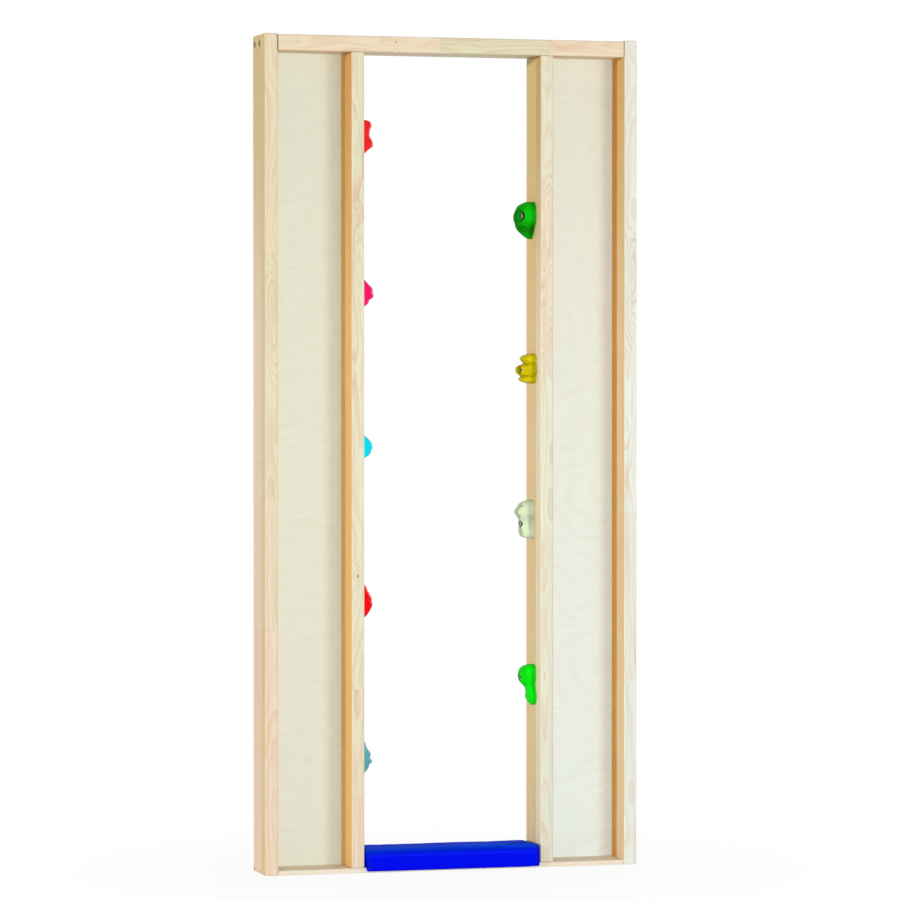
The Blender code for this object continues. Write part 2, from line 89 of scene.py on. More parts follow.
# Each row is a section across a hold, in millimetres, top row first: height above the bolt, how far
# the hold stands off the post there, and how far it reaches from the bolt line to front and back.
# A dish is its centre towards the front and above the bolt, its radius and its depth. A rim is a
# raised ring: its centre, radius, width and rise. A crease is its height above the bolt at mid
# depth, its slope, its width and its depth. Folds are shallow waves below a height: that height,
# their slope, wave length and rise. Painted light and shade are places where the colour is deeper
# as painted shade, or lighter as painted light where the amount is below nothing: each is its
# centre, its two radii and that amount; a hold without any is painted lighter all over, to about
# its own colour. The power makes a section fuller.
HOLDS = {
    "left_1_red": {
        "colour": (255, 38, 44), "seat": 15, "lean": 0.0,
        "rows": ((41, 8, 8, 8), (37, 25, 18, 18), (32, 31, 22, 22), (26, 33, 25, 25),
                 (17, 30, 26, 26), (5, 28, 24, 24), (-2, 29, 25, 25), (-12, 34, 28, 28),
                 (-19, 36, 28, 28), (-26, 34, 26, 26), (-33, 24, 22, 22), (-41, 15, 16, 16),
                 (-47, 6, 8, 8)),
        "dishes": (), "creases": ((12, 0.25, 3.0, 1.0),)},
    "left_2_pink": {
        "colour": (255, 18, 112), "seat": 18, "lean": 0.0,
        "rows": ((39, 6, 8, 8), (28, 16, 20, 20), (16, 27, 27, 27), (10, 33, 29, 29),
                 (7, 35, 30, 30), (-4, 36, 30, 30), (-10, 37, 30, 30), (-15, 34, 29, 29),
                 (-19, 28, 27, 27), (-26, 25, 25, 25), (-37, 14, 18, 18), (-46, 6, 8, 8)),
        "dishes": (), "creases": ((-20, -0.1, 2.5, 1.2), (14, 0.2, 2.5, 0.8))},
    "left_3_cyan": {
        "colour": (0, 230, 250), "seat": 18, "lean": 0.0,
        "rows": ((37, 5, 8, 8), (27, 16, 20, 20), (17, 28, 26, 26), (7, 34, 29, 29),
                 (0, 35, 30, 30), (-7, 32, 29, 29), (-19, 26, 25, 25), (-26, 15, 19, 19),
                 (-33, 5, 8, 8)),
        "dishes": (), "creases": ((18, -0.3, 3.0, 0.8),)},
    "left_4_crimson": {
        "colour": (255, 0, 12), "seat": 18, "lean": 0.0,
        "rows": ((59, 5, 7, 7), (45, 14, 16, 16), (33, 21, 22, 22), (25, 25, 25, 25),
                 (15, 30, 28, 28), (4, 33, 30, 30), (-4, 34, 31, 31), (-11, 32, 30, 30),
                 (-26, 24, 25, 25), (-36, 15, 18, 18), (-44, 5, 8, 8)),
        "dishes": (), "creases": ((26, 0.3, 3.0, 0.9),)},
    "left_5_petrol": {
        "colour": (98, 178, 186), "seat": 15, "lean": 0.0,
        "rows": ((50, 5, 7, 7), (38, 15, 16, 16), (21, 22, 24, 24), (12, 28, 27, 27),
                 (7, 30, 28, 28), (0, 28, 28, 28), (-9, 33, 30, 30), (-13, 31, 29, 29),
                 (-17, 27, 28, 28), (-25, 24, 25, 25), (-37, 14, 18, 18), (-45, 5, 8, 8)),
        "dishes": (), "creases": ((-16, 0.0, 2.2, 1.2), (2, 0.1, 2.5, 0.8))},
    "right_1_green": {
        "colour": (0, 186, 0), "seat": 18, "lean": -0.50,
        "rows": ((35, 18, 9, 15), (28, 31, 18, 24), (14, 40.5, 24, 30), (3, 44, 26, 32),
                 (-9, 44, 25, 32), (-25, 38.5, 15, 30), (-38, 30, 4, 27), (-47, 21, -3, 24),
                 (-53, 13, -8, 20), (-56, 6, -11, 16)),
        "dishes": ((1, 0, 12.5, 18), (14, -30, 9, 3)), "rims": ((3, 0, 21, 4.5, 2.6),),
        "folds": (-14, 0.35, 11, 1.4), "creases": (),
        "painted_light_and_shade": ((-8, 2, 18, 22, 1.0), (20, 6, 8, 17, -0.9), (10, -34, 18, 14, 0.9),
                   (-12, -30, 12, 14, 0.5), (24, 24, 6, 8, 0.5))},
    "right_2_yellow": {
        "colour": (226, 207, 0), "seat": 19, "lean": -0.45,
        "rows": ((40, 10, 10, 10), (36, 22, 22, 20), (27, 31, 27, 25), (21, 26, 28, 26),
                 (16, 24, 23, 23), (10, 37, 28, 26), (0, 40.5, 30, 28), (-9, 38.5, 28, 26),
                 (-15, 31, 23, 22), (-21, 34, 26, 24), (-28, 29, 21, 20), (-33, 13, 9, 9)),
        "dishes": ((1, 0, 10, 11), (20, -6, 7, 1.5)), "rims": ((3, 0, 14, 3.5, 1.6),), "power": 2.8,
        "creases": ((13.5, -0.10, 1.8, 2.8), (-15, 0.06, 2.4, 1.6), (27, 0.35, 3.0, 0.8)),
        "painted_light_and_shade": ((-14, 0, 9, 9, 0.5), (14, 20, 9, 12, -0.3), (16, -4, 9, 7, -0.25),
                   (28, -12, 4, 26, 0.45))},
    "right_3_cream": {
        "colour": (218, 233, 198), "seat": 22, "lean": -0.25,
        "rows": ((58, 8, 3, 8), (53, 24, 7, 17), (48, 31, 9, 21), (38, 37, 11, 25),
                 (31, 42, 12, 27), (25, 42, 13, 28), (17, 36, 13.5, 28), (8, 32, 14, 28),
                 (0, 31, 14, 28), (-12, 31, 14, 28), (-24, 30.5, 13, 26), (-32, 26, 11, 20),
                 (-37, 12, 6, 10)),
        "dishes": ((4, 43, 4.2, 3.0), (2, 28, 7, 1.6)), "rims": ((0, 0, 11.5, 3.5, 3.6),), "power": 9.0,
        "creases": ((17, 0.25, 4.5, 1.2),),
        "painted_light_and_shade": ((5, 43, 3.5, 3, 0.9), (12, 14, 5, 8, 0.3), (11, 36, 6, 16, -0.5), (13, -14, 6, 22, -0.4),
                   (-16, 10, 12, 60, -0.5), (2, 30, 8, 12, 0.2), (2, -18, 8, 12, 0.2))},
    "right_4_lime": {
        "colour": (0, 252, 10), "seat": 19, "lean": -0.25,
        "rows": ((31, 11, 10, 12), (27, 22, 18, 20), (22, 29, 22, 25), (12, 35, 24, 29),
                 (2, 36.5, 24, 30), (-8, 33.5, 22, 27), (-16, 28.5, 19, 21), (-23, 22.5, 19, 17),
                 (-30, 19.5, 22, 16), (-38, 19, 27, 17), (-47, 19, 30, 17), (-55, 17, 28, 12),
                 (-63, 12, 21, 3), (-68, 7, 13, -4)),
        "dishes": ((-8, 5, 9, 7),), "rims": ((4, 0, 10.5, 4.0, 2.8),), "power": 3.0,
        "creases": ((-22, 0.35, 6.0, 1.6), (-46, -0.5, 6.0, 0.8)),
        "painted_light_and_shade": ((-9, 5, 9, 9, 1.0), (12, -42, 10, 14, -0.5), (20, 0, 6, 10, 0.25))},
}

# Screws, with the way that their heads look
SCREWS = {}
for side, label in ((-1, "left"), (1, "right")):
    for number in (1, 2):
        SCREWS[f"screw_header_{label}_{number}"] = (side, 0, 0)
        SCREWS[f"screw_base_{label}_{number}"] = (side, 0, 0)
        SCREWS[f"screw_inner_top_{label}_{number}"] = (0, 0, 1)
    SCREWS[f"screw_inner_foot_{label}"] = (0, 0, -1)


# ---------------------------------------------------------------- colours and shader parts
def paint(red, green, blue):
    """A colour as a picture shows it, 0 to 255, as the linear colour that a shader takes."""
    shown = np.array((red, green, blue)) / 255
    linear = np.where(shown <= 0.04045, shown / 12.92, ((shown + 0.055) / 1.055) ** 2.4)
    return (*linear.tolist(), 1.0)


def feed(tree, node, inputs):
    """A node's inputs, linked to sockets or set to values."""
    for key, value in inputs.items():
        if isinstance(value, bpy.types.NodeSocket):
            tree.links.new(value, node.inputs[key])
        else:
            node.inputs[key].default_value = value


def put(tree, kind, inputs=None, **settings):
    """A new node with its settings and its inputs."""
    node = tree.nodes.new(kind)
    for name, value in settings.items():
        setattr(node, name, value)
    feed(tree, node, inputs or {})
    return node


def calc(tree, operation, *terms):
    """A Math node's result on sockets and numbers."""
    return put(tree, "ShaderNodeMath", dict(enumerate(terms)), operation=operation).outputs[0]


def plus(tree, *terms):
    return calc(tree, "ADD", *terms)


def minus(tree, *terms):
    return calc(tree, "SUBTRACT", *terms)


def times(tree, *terms):
    return calc(tree, "MULTIPLY", *terms)


def times_plus(tree, *terms):
    return calc(tree, "MULTIPLY_ADD", *terms)


def close_to(tree, value, wanted, margin):
    """1 where a value lies nearer than a margin to the wanted one, and 0 elsewhere."""
    return calc(tree, "LESS_THAN", calc(tree, "ABSOLUTE", minus(tree, value, wanted)), margin)


def axes(tree, place):
    """The three coordinates of a place."""
    return put(tree, "ShaderNodeSeparateXYZ", {0: place}).outputs


def channels(tree, colour):
    """The three channels of a colour."""
    return put(tree, "ShaderNodeSeparateColor", {0: colour}).outputs


def blend(tree, mode, share, first, second):
    """Two colours mixed."""
    node = put(tree, "ShaderNodeMix", {0: share, 6: first, 7: second}, data_type="RGBA",
               blend_type=mode, clamp_result=False)
    return node.outputs[2]


def darkened(tree, colour, shade):
    """A colour times a number."""
    grey = put(tree, "ShaderNodeCombineColor", {0: shade, 1: shade, 2: shade}).outputs[0]
    return blend(tree, "MULTIPLY", 1.0, colour, grey)


def ramp(tree, value, stops, interpolation="LINEAR"):
    """A value turned into a colour or a grey by a Color Ramp: stops of place and colour."""
    node = put(tree, "ShaderNodeValToRGB", {0: value})
    node.color_ramp.interpolation = interpolation
    elements = node.color_ramp.elements
    while len(elements) < len(stops):
        elements.new(0.5)
    for element, (place, _) in zip(elements, stops):
        element.position = place
    for element, (_, shade) in zip(elements, stops):
        element.color = shade if isinstance(shade, tuple) else (shade, shade, shade, 1.0)
    return node.outputs["Color"]


def noise(tree, place, factors=(1.0, 1.0, 1.0), detail=2.0, roughness=0.5):
    """A smooth noise, as a number and as a colour, at a place with its coordinates multiplied."""
    stretched = put(tree, "ShaderNodeVectorMath", {0: place, 1: factors}, operation="MULTIPLY").outputs[0]
    node = put(tree, "ShaderNodeTexNoise",
               {"Vector": stretched, "Scale": 1.0, "Detail": detail, "Roughness": roughness})
    return node.outputs["Fac"], node.outputs["Color"]


def mark_value(tree):
    """The number that make_surface stored at each point."""
    return put(tree, "ShaderNodeAttribute", attribute_name="mark").outputs["Fac"]


def new_group(name, inputs, outputs):
    """An empty node group with named sockets: its tree, what it is given and its output node."""
    tree = bpy.data.node_groups.new(name, "ShaderNodeTree")
    for label, (kind, value) in inputs.items():
        socket = tree.interface.new_socket(label, in_out="INPUT", socket_type=f"NodeSocket{kind}")
        if value is not None:
            socket.default_value = value
    for label, kind in outputs.items():
        tree.interface.new_socket(label, in_out="OUTPUT", socket_type=f"NodeSocket{kind}")
    return tree, tree.nodes.new("NodeGroupInput").outputs, tree.nodes.new("NodeGroupOutput")


def grouped(tree, group, inputs):
    """The outputs of a group placed in a tree."""
    return put(tree, "ShaderNodeGroup", inputs, node_tree=group).outputs


def bare_material(name):
    """A material with its Principled shader, its tree and the place of a point on the piece."""
    material = bpy.data.materials.new(name)
    material.use_nodes = True
    tree = material.node_tree
    shader = tree.nodes["Principled BSDF"]
    place = tree.nodes.new("ShaderNodeTexCoord").outputs["Object"]
    return material, tree, shader, place


def dress(tree, shader, colour, roughness, height, rise, specular=0.5, metallic=0.0):
    """The shader's look: colour, roughness, and a fine relief that rises so many metres."""
    normal = put(tree, "ShaderNodeBump", {"Height": height, "Distance": rise, "Strength": 1.0}).outputs["Normal"]
    feed(tree, shader, {"Base Color": colour, "Roughness": roughness, "Normal": normal,
                        "Specular IOR Level": specular, "Metallic": metallic})


def pine_group():
    """Growth rings round a pith that lies along the third coordinate, with fibres along it.

    The distance from the pith, bent by slow noise, is cut into rings of 3.4 mm, each pale at first
    and dark at its end. Each board along a glued-up post has rings, bend and tint of its own.
    """
    tree, given, out = new_group("pine_grain", {
        "Place": ("Vector", None), "Board": ("Color", (0.5, 0.5, 0.5, 1)), "Bulge": ("Float", 0.0),
        "Early": ("Color", None), "Pink": ("Color", None), "Late": ("Color", None),
    }, {"Color": "Color", "Late": "Float", "Fibre": "Float"})
    parts = axes(tree, given["Place"])
    board = channels(tree, given["Board"])
    number, wave, pink = board[0], board[1], board[2]
    across = plus(tree, parts[0], times(tree, minus(tree, number, 0.5), 0.05))
    deep = plus(tree, parts[1], times(tree, number, 0.03))
    along = plus(tree, parts[2], times(tree, number, 9.0))
    moved = put(tree, "ShaderNodeCombineXYZ", {0: across, 1: deep, 2: along}).outputs[0]
    slow = noise(tree, moved, (8.0, 8.0, 3.0))[1]
    slow_parts = channels(tree, slow)
    swing = times(tree, wave, 0.05)
    bent_a = times_plus(tree, minus(tree, slow_parts[0], 0.5), swing, across)
    bent_b = times_plus(tree, minus(tree, slow_parts[1], 0.5), swing, deep)
    square = plus(tree, times(tree, bent_a, bent_a), times(tree, bent_b, bent_b))
    radius = calc(tree, "SQRT", square)
    radius = times_plus(tree, along, 0.004, radius)
    ripple = noise(tree, moved, (60.0, 60.0, 5.0))[0]
    radius = times_plus(tree, ripple, 0.0016, radius)
    radius = times_plus(tree, given["Bulge"], 0.010, radius)
    ring = calc(tree, "FRACT", calc(tree, "DIVIDE", radius, RING_WIDTH))
    late = ramp(tree, ring, ((0.0, 0.0), (0.35, 0.08), (0.82, 0.85), (0.94, 1.0), (1.0, 0.0)))
    by_radius = put(tree, "ShaderNodeCombineXYZ", {0: times(tree, radius, 90.0)}).outputs[0]
    weight = noise(tree, by_radius, detail=1.0)[0]
    late = times(tree, late, times_plus(tree, weight, 1.5, -0.25))
    fibre = noise(tree, moved, (900.0, 900.0, 11.0), 3.0, 0.6)[0]
    streak = noise(tree, moved, (150.0, 150.0, 2.0), 2.0, 0.6)[0]
    flame = noise(tree, moved, (60.0, 60.0, 4.0))[0]
    flame = ramp(tree, flame, ((0.50, 0.0), (0.68, 1.0)))
    early = blend(tree, "MIX", pink, given["Early"], given["Pink"])
    tinge = times_plus(tree, flame, 0.16, times(tree, late, 0.50))
    colour = blend(tree, "MIX", tinge, early, given["Late"])
    shade = times_plus(tree, fibre, 0.10, 0.95)
    shade = times(tree, shade, times_plus(tree, streak, 0.20, 0.90))
    feed(tree, out, {"Color": darkened(tree, colour, shade), "Late": late, "Fibre": fibre})
    return tree


def knot_group():
    """A branch end: its dark core, and the bulge with which the rings pass round it, drawn out along it."""
    tree, given, out = new_group("branch_knot", {
        "Place": ("Vector", None), "Centre": ("Vector", None), "Radius": ("Float", 0.004),
        "Shrink": ("Vector", (1.0, 1.0, 0.5)),
    }, {"Core": "Float", "Bulge": "Float"})
    off = put(tree, "ShaderNodeVectorMath", {0: given["Place"], 1: given["Centre"]},
              operation="SUBTRACT").outputs[0]
    off = put(tree, "ShaderNodeVectorMath", {0: off, 1: given["Shrink"]}, operation="MULTIPLY").outputs[0]
    rough = noise(tree, given["Place"], (220.0, 220.0, 120.0))[0]
    away = put(tree, "ShaderNodeVectorMath", {0: off}, operation="LENGTH").outputs["Value"]
    away = calc(tree, "DIVIDE", times_plus(tree, rough, 0.0016, away), given["Radius"])
    core = ramp(tree, away, ((0.0, 0.85), (0.55, 0.55), (0.75, 1.0), (1.0, 0.0)))
    bulge = calc(tree, "EXPONENT", times(tree, times(tree, away, away), -0.09))
    feed(tree, out, {"Core": core, "Bulge": bulge})
    return tree


def veneer_group():
    """Rotary-cut birch: fine level lines, and faint soft contours of a slow noise drawn out sideways."""
    tree, given, out = new_group("birch_veneer", {
        "Place": ("Vector", None), "Pale": ("Color", None), "Line": ("Color", None),
    }, {"Color": "Color", "Fibre": "Float"})
    place = given["Place"]
    field = noise(tree, place, (1.6, 1.0, 5.0), 1.5, 0.5)[0]
    ripple = noise(tree, place, (22.0, 1.0, 110.0))[0]
    field = times_plus(tree, ripple, 0.016, field)
    contour = calc(tree, "FRACT", times(tree, field, 24.0))
    line = ramp(tree, contour, ((0.0, 0.6), (0.22, 0.15), (0.55, 0.0), (0.85, 0.45), (1.0, 0.6)))
    cloud = noise(tree, place, (5.0, 1.0, 14.0))[0]
    level = noise(tree, place, (3.2, 3.2, 210.0), 2.0, 0.7)[0]
    fibre = noise(tree, place, (24.0, 24.0, 900.0), 3.0, 0.6)[0]
    line = times(tree, line, times_plus(tree, cloud, 1.4, -0.25))
    line = times_plus(tree, minus(tree, level, 0.42), 0.9, line)
    colour = blend(tree, "MIX", times(tree, calc(tree, "MAXIMUM", line, 0.0), 0.22),
                   given["Pale"], given["Line"])
    shade = times_plus(tree, fibre, 0.05, 0.955)
    shade = times_plus(tree, cloud, 0.04, shade)
    feed(tree, out, {"Color": darkened(tree, colour, shade), "Fibre": fibre})
    return tree


def mottle_group():
    """Cloudy shade and fine grit, for cast resin, vinyl and metal: a colour, a height and a mask."""
    tree, given, out = new_group("mottle_and_grit", {
        "Place": ("Vector", None), "Color": ("Color", None), "Cloud size": ("Float", 40.0),
        "Cloud": ("Float", 0.12), "Grit size": ("Float", 1100.0),
    }, {"Color": "Color", "Grit": "Float", "Cloud": "Float"})
    place = given["Place"]
    cloud = put(tree, "ShaderNodeTexNoise", {"Vector": place, "Scale": given["Cloud size"],
                                             "Detail": 3.0}).outputs["Fac"]
    grit = put(tree, "ShaderNodeTexNoise", {"Vector": place, "Scale": given["Grit size"],
                                            "Detail": 2.0, "Roughness": 0.7}).outputs["Fac"]
    shade = times_plus(tree, minus(tree, cloud, 0.5), given["Cloud"], 1.0)
    shade = times_plus(tree, minus(tree, grit, 0.5), 0.10, shade)
    feed(tree, out, {"Color": darkened(tree, given["Color"], shade), "Grit": grit, "Cloud": cloud})
    return tree


PINE, KNOT, VENEER, MOTTLE = pine_group(), knot_group(), veneer_group(), mottle_group()


# ---------------------------------------------------------------- finishes
def side_tone_and_shade(tree, spot, tones):
    """A post side's tone, partly the wood's own and partly painted light and shade: its rear and its front strip,
    each with a tone low down and one high up.
    """
    rear_low, rear_high, front_low, front_high, border = tones
    high = ramp(tree, calc(tree, "DIVIDE", spot[2], FRAME_HEIGHT), ((0.60, 0.0), (0.95, 1.0)), "EASE")
    front = calc(tree, "LESS_THAN", spot[1], border)
    return blend(tree, "MIX", front, blend(tree, "MIX", high, rear_low, rear_high),
                 blend(tree, "MIX", high, front_low, front_high))


def pine(name, pith, boards, early, lying=False, knots=(), figures=(), sides=None, gap_shadows=()):
    """Glued-up pine: the pith's place, boards as (start, number, wave, pink) along it, and knots.

    Boards meet in finger joints: the border runs to and fro by 5 mm as it crosses the depth. Across
    the depth a post is glued up from two strips. The sides of a post are of a deeper tone than its
    front and back, partly the wood's own and partly painted light and shade: sides gives the middle
    of the post and the tones of its left and right side. The pale wood is a little darker high up,
    as painted shade. A figure is a place where the rings bulge without a branch. The places along a
    rail where its joint gapes, with the width of the gap, are painted dark as the shadow in the gap.
    """
    material, tree, shader, place = bare_material(name)
    turn = (0.0, math.pi / 2, 0.0) if lying else (0.0, 0.0, 0.0)
    wood = put(tree, "ShaderNodeMapping", {"Vector": place, "Location": (-pith[0], -pith[1], 0.0),
                                           "Rotation": turn}).outputs[0]
    parts, spot = axes(tree, wood), axes(tree, place)
    teeth = calc(tree, "PINGPONG", plus(tree, parts[1], 0.1), TOOTH_WIDTH)
    along = times_plus(tree, teeth, 3.2, parts[2])
    start, length = (-0.5, 1.0) if lying else (0.0, FRAME_HEIGHT)
    share = calc(tree, "DIVIDE", minus(tree, along, start), length)
    board = ramp(tree, share, [((at - start) / length, (number, wave, pink, 1.0))
                               for at, number, wave, pink in boards], "CONSTANT")
    joint = None
    for at, *_ in boards[1:]:
        near = close_to(tree, along, at, 0.0006)
        joint = near if joint is None else calc(tree, "MAXIMUM", joint, near)
    bulge, core = 0.0, None
    for centre, radius in knots:
        knot = grouped(tree, KNOT, {"Place": place, "Centre": centre, "Radius": radius})
        bulge = plus(tree, bulge, knot["Bulge"])
        core = knot["Core"] if core is None else calc(tree, "MAXIMUM", core, knot["Core"])
    for centre, radius, amount in figures:
        knot = grouped(tree, KNOT, {"Place": place, "Centre": centre, "Radius": radius,
                                    "Shrink": (1.0, 0.6, 0.13)})
        bulge = times_plus(tree, knot["Bulge"], amount, bulge)
    if not lying:
        strip = calc(tree, "LESS_THAN", plus(tree, parts[1], pith[1]), STRIP_Y)
        split = channels(tree, board)
        number = calc(tree, "FRACT", times_plus(tree, strip, 0.37, split[0]))
        board = put(tree, "ShaderNodeCombineColor", {0: number, 1: split[1], 2: split[2]}).outputs[0]
    # Painted shade: the pale wood is a little darker high up.
    high = ramp(tree, calc(tree, "DIVIDE", spot[2], FRAME_HEIGHT),
                ((0.62, (1.0, 1.0, 1.0, 1.0)), (0.90, (0.945, 0.94, 0.91, 1.0))))
    early = blend(tree, "MULTIPLY", 1.0, early, high)
    pale, pink, late = early, paint(238, 214, 190), paint(204, 154, 100)
    # Painted light and shade on the post's sides, mixed with the wood's own deeper side tone.
    if sides:
        middle, left_tones, right_tones = sides
        off = minus(tree, spot[0], middle)
        at_side = calc(tree, "DIVIDE", calc(tree, "ABSOLUTE", off), POST_HALF)
        at_side = ramp(tree, at_side, ((0.90, 0.0), (0.97, 1.0)))
        tone = blend(tree, "MIX", calc(tree, "GREATER_THAN", off, 0.0), side_tone_and_shade(tree, spot, left_tones),
                     side_tone_and_shade(tree, spot, right_tones))
        pale = blend(tree, "MIX", at_side, early, tone)
        pink = blend(tree, "MIX", at_side, pink, blend(tree, "MULTIPLY", 1.0, tone, (1.0, 0.93, 0.86, 1.0)))
        late = blend(tree, "MIX", at_side, late, blend(tree, "MULTIPLY", 1.0, tone, (0.80, 0.62, 0.45, 1.0)))
    grain = grouped(tree, PINE, {"Place": wood, "Board": board, "Bulge": bulge,
                                 "Early": pale, "Pink": pink, "Late": late})
    colour = grain["Color"]
    if core is not None:
        colour = blend(tree, "MIX", core, colour, paint(120, 72, 38))
    if joint is not None:
        colour = blend(tree, "MIX", times(tree, joint, 0.12), colour, paint(150, 105, 66))
    # Painted shadow: a dark line where the rail's joint with a post gapes.
    for at, width in gap_shadows:
        colour = blend(tree, "MIX", close_to(tree, spot[0], at, width), colour, paint(84, 52, 36))
    dress(tree, shader, colour, times_plus(tree, grain["Fibre"], 0.16, 0.42),
          times_plus(tree, grain["Late"], 0.5, grain["Fibre"]), 0.00012, specular=0.22)
    return material


def birch_ply(name, low, high):
    """Birch veneer, its tone low down and high up on the panel."""
    material, tree, shader, place = bare_material(name)
    share = calc(tree, "DIVIDE", axes(tree, place)[2], FRAME_HEIGHT)
    pale = blend(tree, "MIX", share, low, high)
    veneer = grouped(tree, VENEER, {"Place": place, "Pale": pale, "Line": paint(192, 178, 140)})
    dress(tree, shader, veneer["Color"], times_plus(tree, veneer["Fibre"], 0.14, 0.44), veneer["Fibre"], 0.00008)
    return material


def cast_resin(name, colour):
    """Polyester resin with a sanded, gritty skin, with painted shade in its dips and recesses and painted light on
    its ridges.
    """
    material, tree, shader, place = bare_material(name)
    skin = grouped(tree, MOTTLE, {"Place": place, "Color": colour, "Cloud size": 55.0, "Cloud": 0.16,
                                  "Grit size": 1500.0})
    # Painted light and shade: the mark darkens the skin's dips and recesses and lightens its ridges.
    depth = ramp(tree, times_plus(tree, mark_value(tree), 0.5, 0.5),
                 ((0.0, 1.0), (0.25, 0.84), (0.5, 0.68), (0.75, 0.46), (1.0, 0.26)))
    pits = noise(tree, place, (420.0, 420.0, 420.0), 2.0, 0.6)[0]
    dress(tree, shader, blend(tree, "MULTIPLY", 1.0, skin["Color"], depth),
          times_plus(tree, skin["Cloud"], 0.22, 0.42), times_plus(tree, skin["Grit"], 0.5, pits), 0.00045,
          specular=0.07)
    return material


def metal(name, colour, rough, grit, wear_and_highlight=None, bare=1.0):
    """Steel with a mottled skin, bare or partly under scale. Where it is marked, it has the bright colour of wear
    and painted highlight.
    """
    material, tree, shader, place = bare_material(name)
    if wear_and_highlight is not None:
        colour = blend(tree, "MIX", mark_value(tree), colour, wear_and_highlight)
    skin = grouped(tree, MOTTLE, {"Place": place, "Color": colour, "Cloud size": 160.0, "Cloud": 0.25,
                                  "Grit size": grit})
    dress(tree, shader, skin["Color"], times_plus(tree, skin["Cloud"], 0.25, rough), skin["Grit"], 0.00003,
          metallic=bare)
    return material


def vinyl(name, heights):
    """Coated cloth: a fine leather-like grain, soft creases, and a sewn seam near either end.

    Its tone goes with the height on the mat, as painted light and shade: heights are stops of share and colour.
    """
    material, tree, shader, place = bare_material(name)
    parts = axes(tree, place)
    colour = ramp(tree, calc(tree, "DIVIDE", parts[2], MAT_HEIGHT), heights)
    skin = grouped(tree, MOTTLE, {"Place": place, "Color": colour, "Cloud size": 14.0, "Cloud": 0.16,
                                  "Grit size": 700.0})
    cells = put(tree, "ShaderNodeTexVoronoi", {"Vector": place, "Scale": 620.0},
                feature="DISTANCE_TO_EDGE").outputs["Distance"]
    cells = calc(tree, "MINIMUM", times(tree, cells, 3.0), 0.6)
    from_end = calc(tree, "ABSOLUTE", minus(tree, calc(tree, "ABSOLUTE", parts[0]), SEAM_X))
    seam = calc(tree, "POWER", calc(tree, "DIVIDE", from_end, 0.0009), 2.0)
    seam = calc(tree, "EXPONENT", times(tree, seam, -1.0))
    run = calc(tree, "FRACT", calc(tree, "DIVIDE", plus(tree, parts[1], parts[2]), 0.0042))
    stitch = times(tree, close_to(tree, from_end, 0.0026, 0.0005), calc(tree, "LESS_THAN", run, 0.68))
    height = times(tree, cells, 0.22)
    height = times_plus(tree, seam, -3.5, height)
    height = times_plus(tree, stitch, 1.2, height)
    creases = noise(tree, place, (70.0, 30.0, 16.0))[0]
    height = times_plus(tree, creases, 1.6, height)
    # Painted shade: the seam's groove is darkened.
    colour = blend(tree, "MULTIPLY", times(tree, seam, 0.6), skin["Color"], paint(90, 90, 110))
    colour = blend(tree, "MIX", times(tree, stitch, 0.8), colour, paint(30, 62, 200))
    dress(tree, shader, colour, times_plus(tree, skin["Cloud"], 0.20, 0.70), height, 0.0003, specular=0.03)
    return material


# Tones of a post's side, partly the wood's own and partly painted light and shade: rear strip low
# and high, front strip low and high, and the border between them. The darker tones high up are
# painted shade. On the bay walls the rear strip, behind the shadow border, is painted a deeper
# orange as warm bounced light in the shade there.
# The bay walls that the photograph doesn't show are milder.
BAY_WALL = (paint(238, 212, 160), paint(230, 200, 146), paint(236, 212, 166), paint(228, 202, 152), STRIP_Y)
OUTSIDE = (paint(246, 228, 201), paint(223, 203, 148), paint(239, 214, 172), paint(228, 205, 149), STRIP_Y)
PASSAGE = (paint(232, 208, 156), paint(218, 197, 129), paint(242, 232, 200), paint(202, 172, 106), STRIP_Y)
LEFT_BAY = (paint(252, 204, 118), paint(244, 182, 81), paint(238, 194, 126), paint(219, 171, 97), SHADE_Y)
RIGHT_BAY = (paint(242, 178, 76), paint(232, 162, 55), paint(229, 202, 160), paint(216, 180, 116), SHADE_Y)
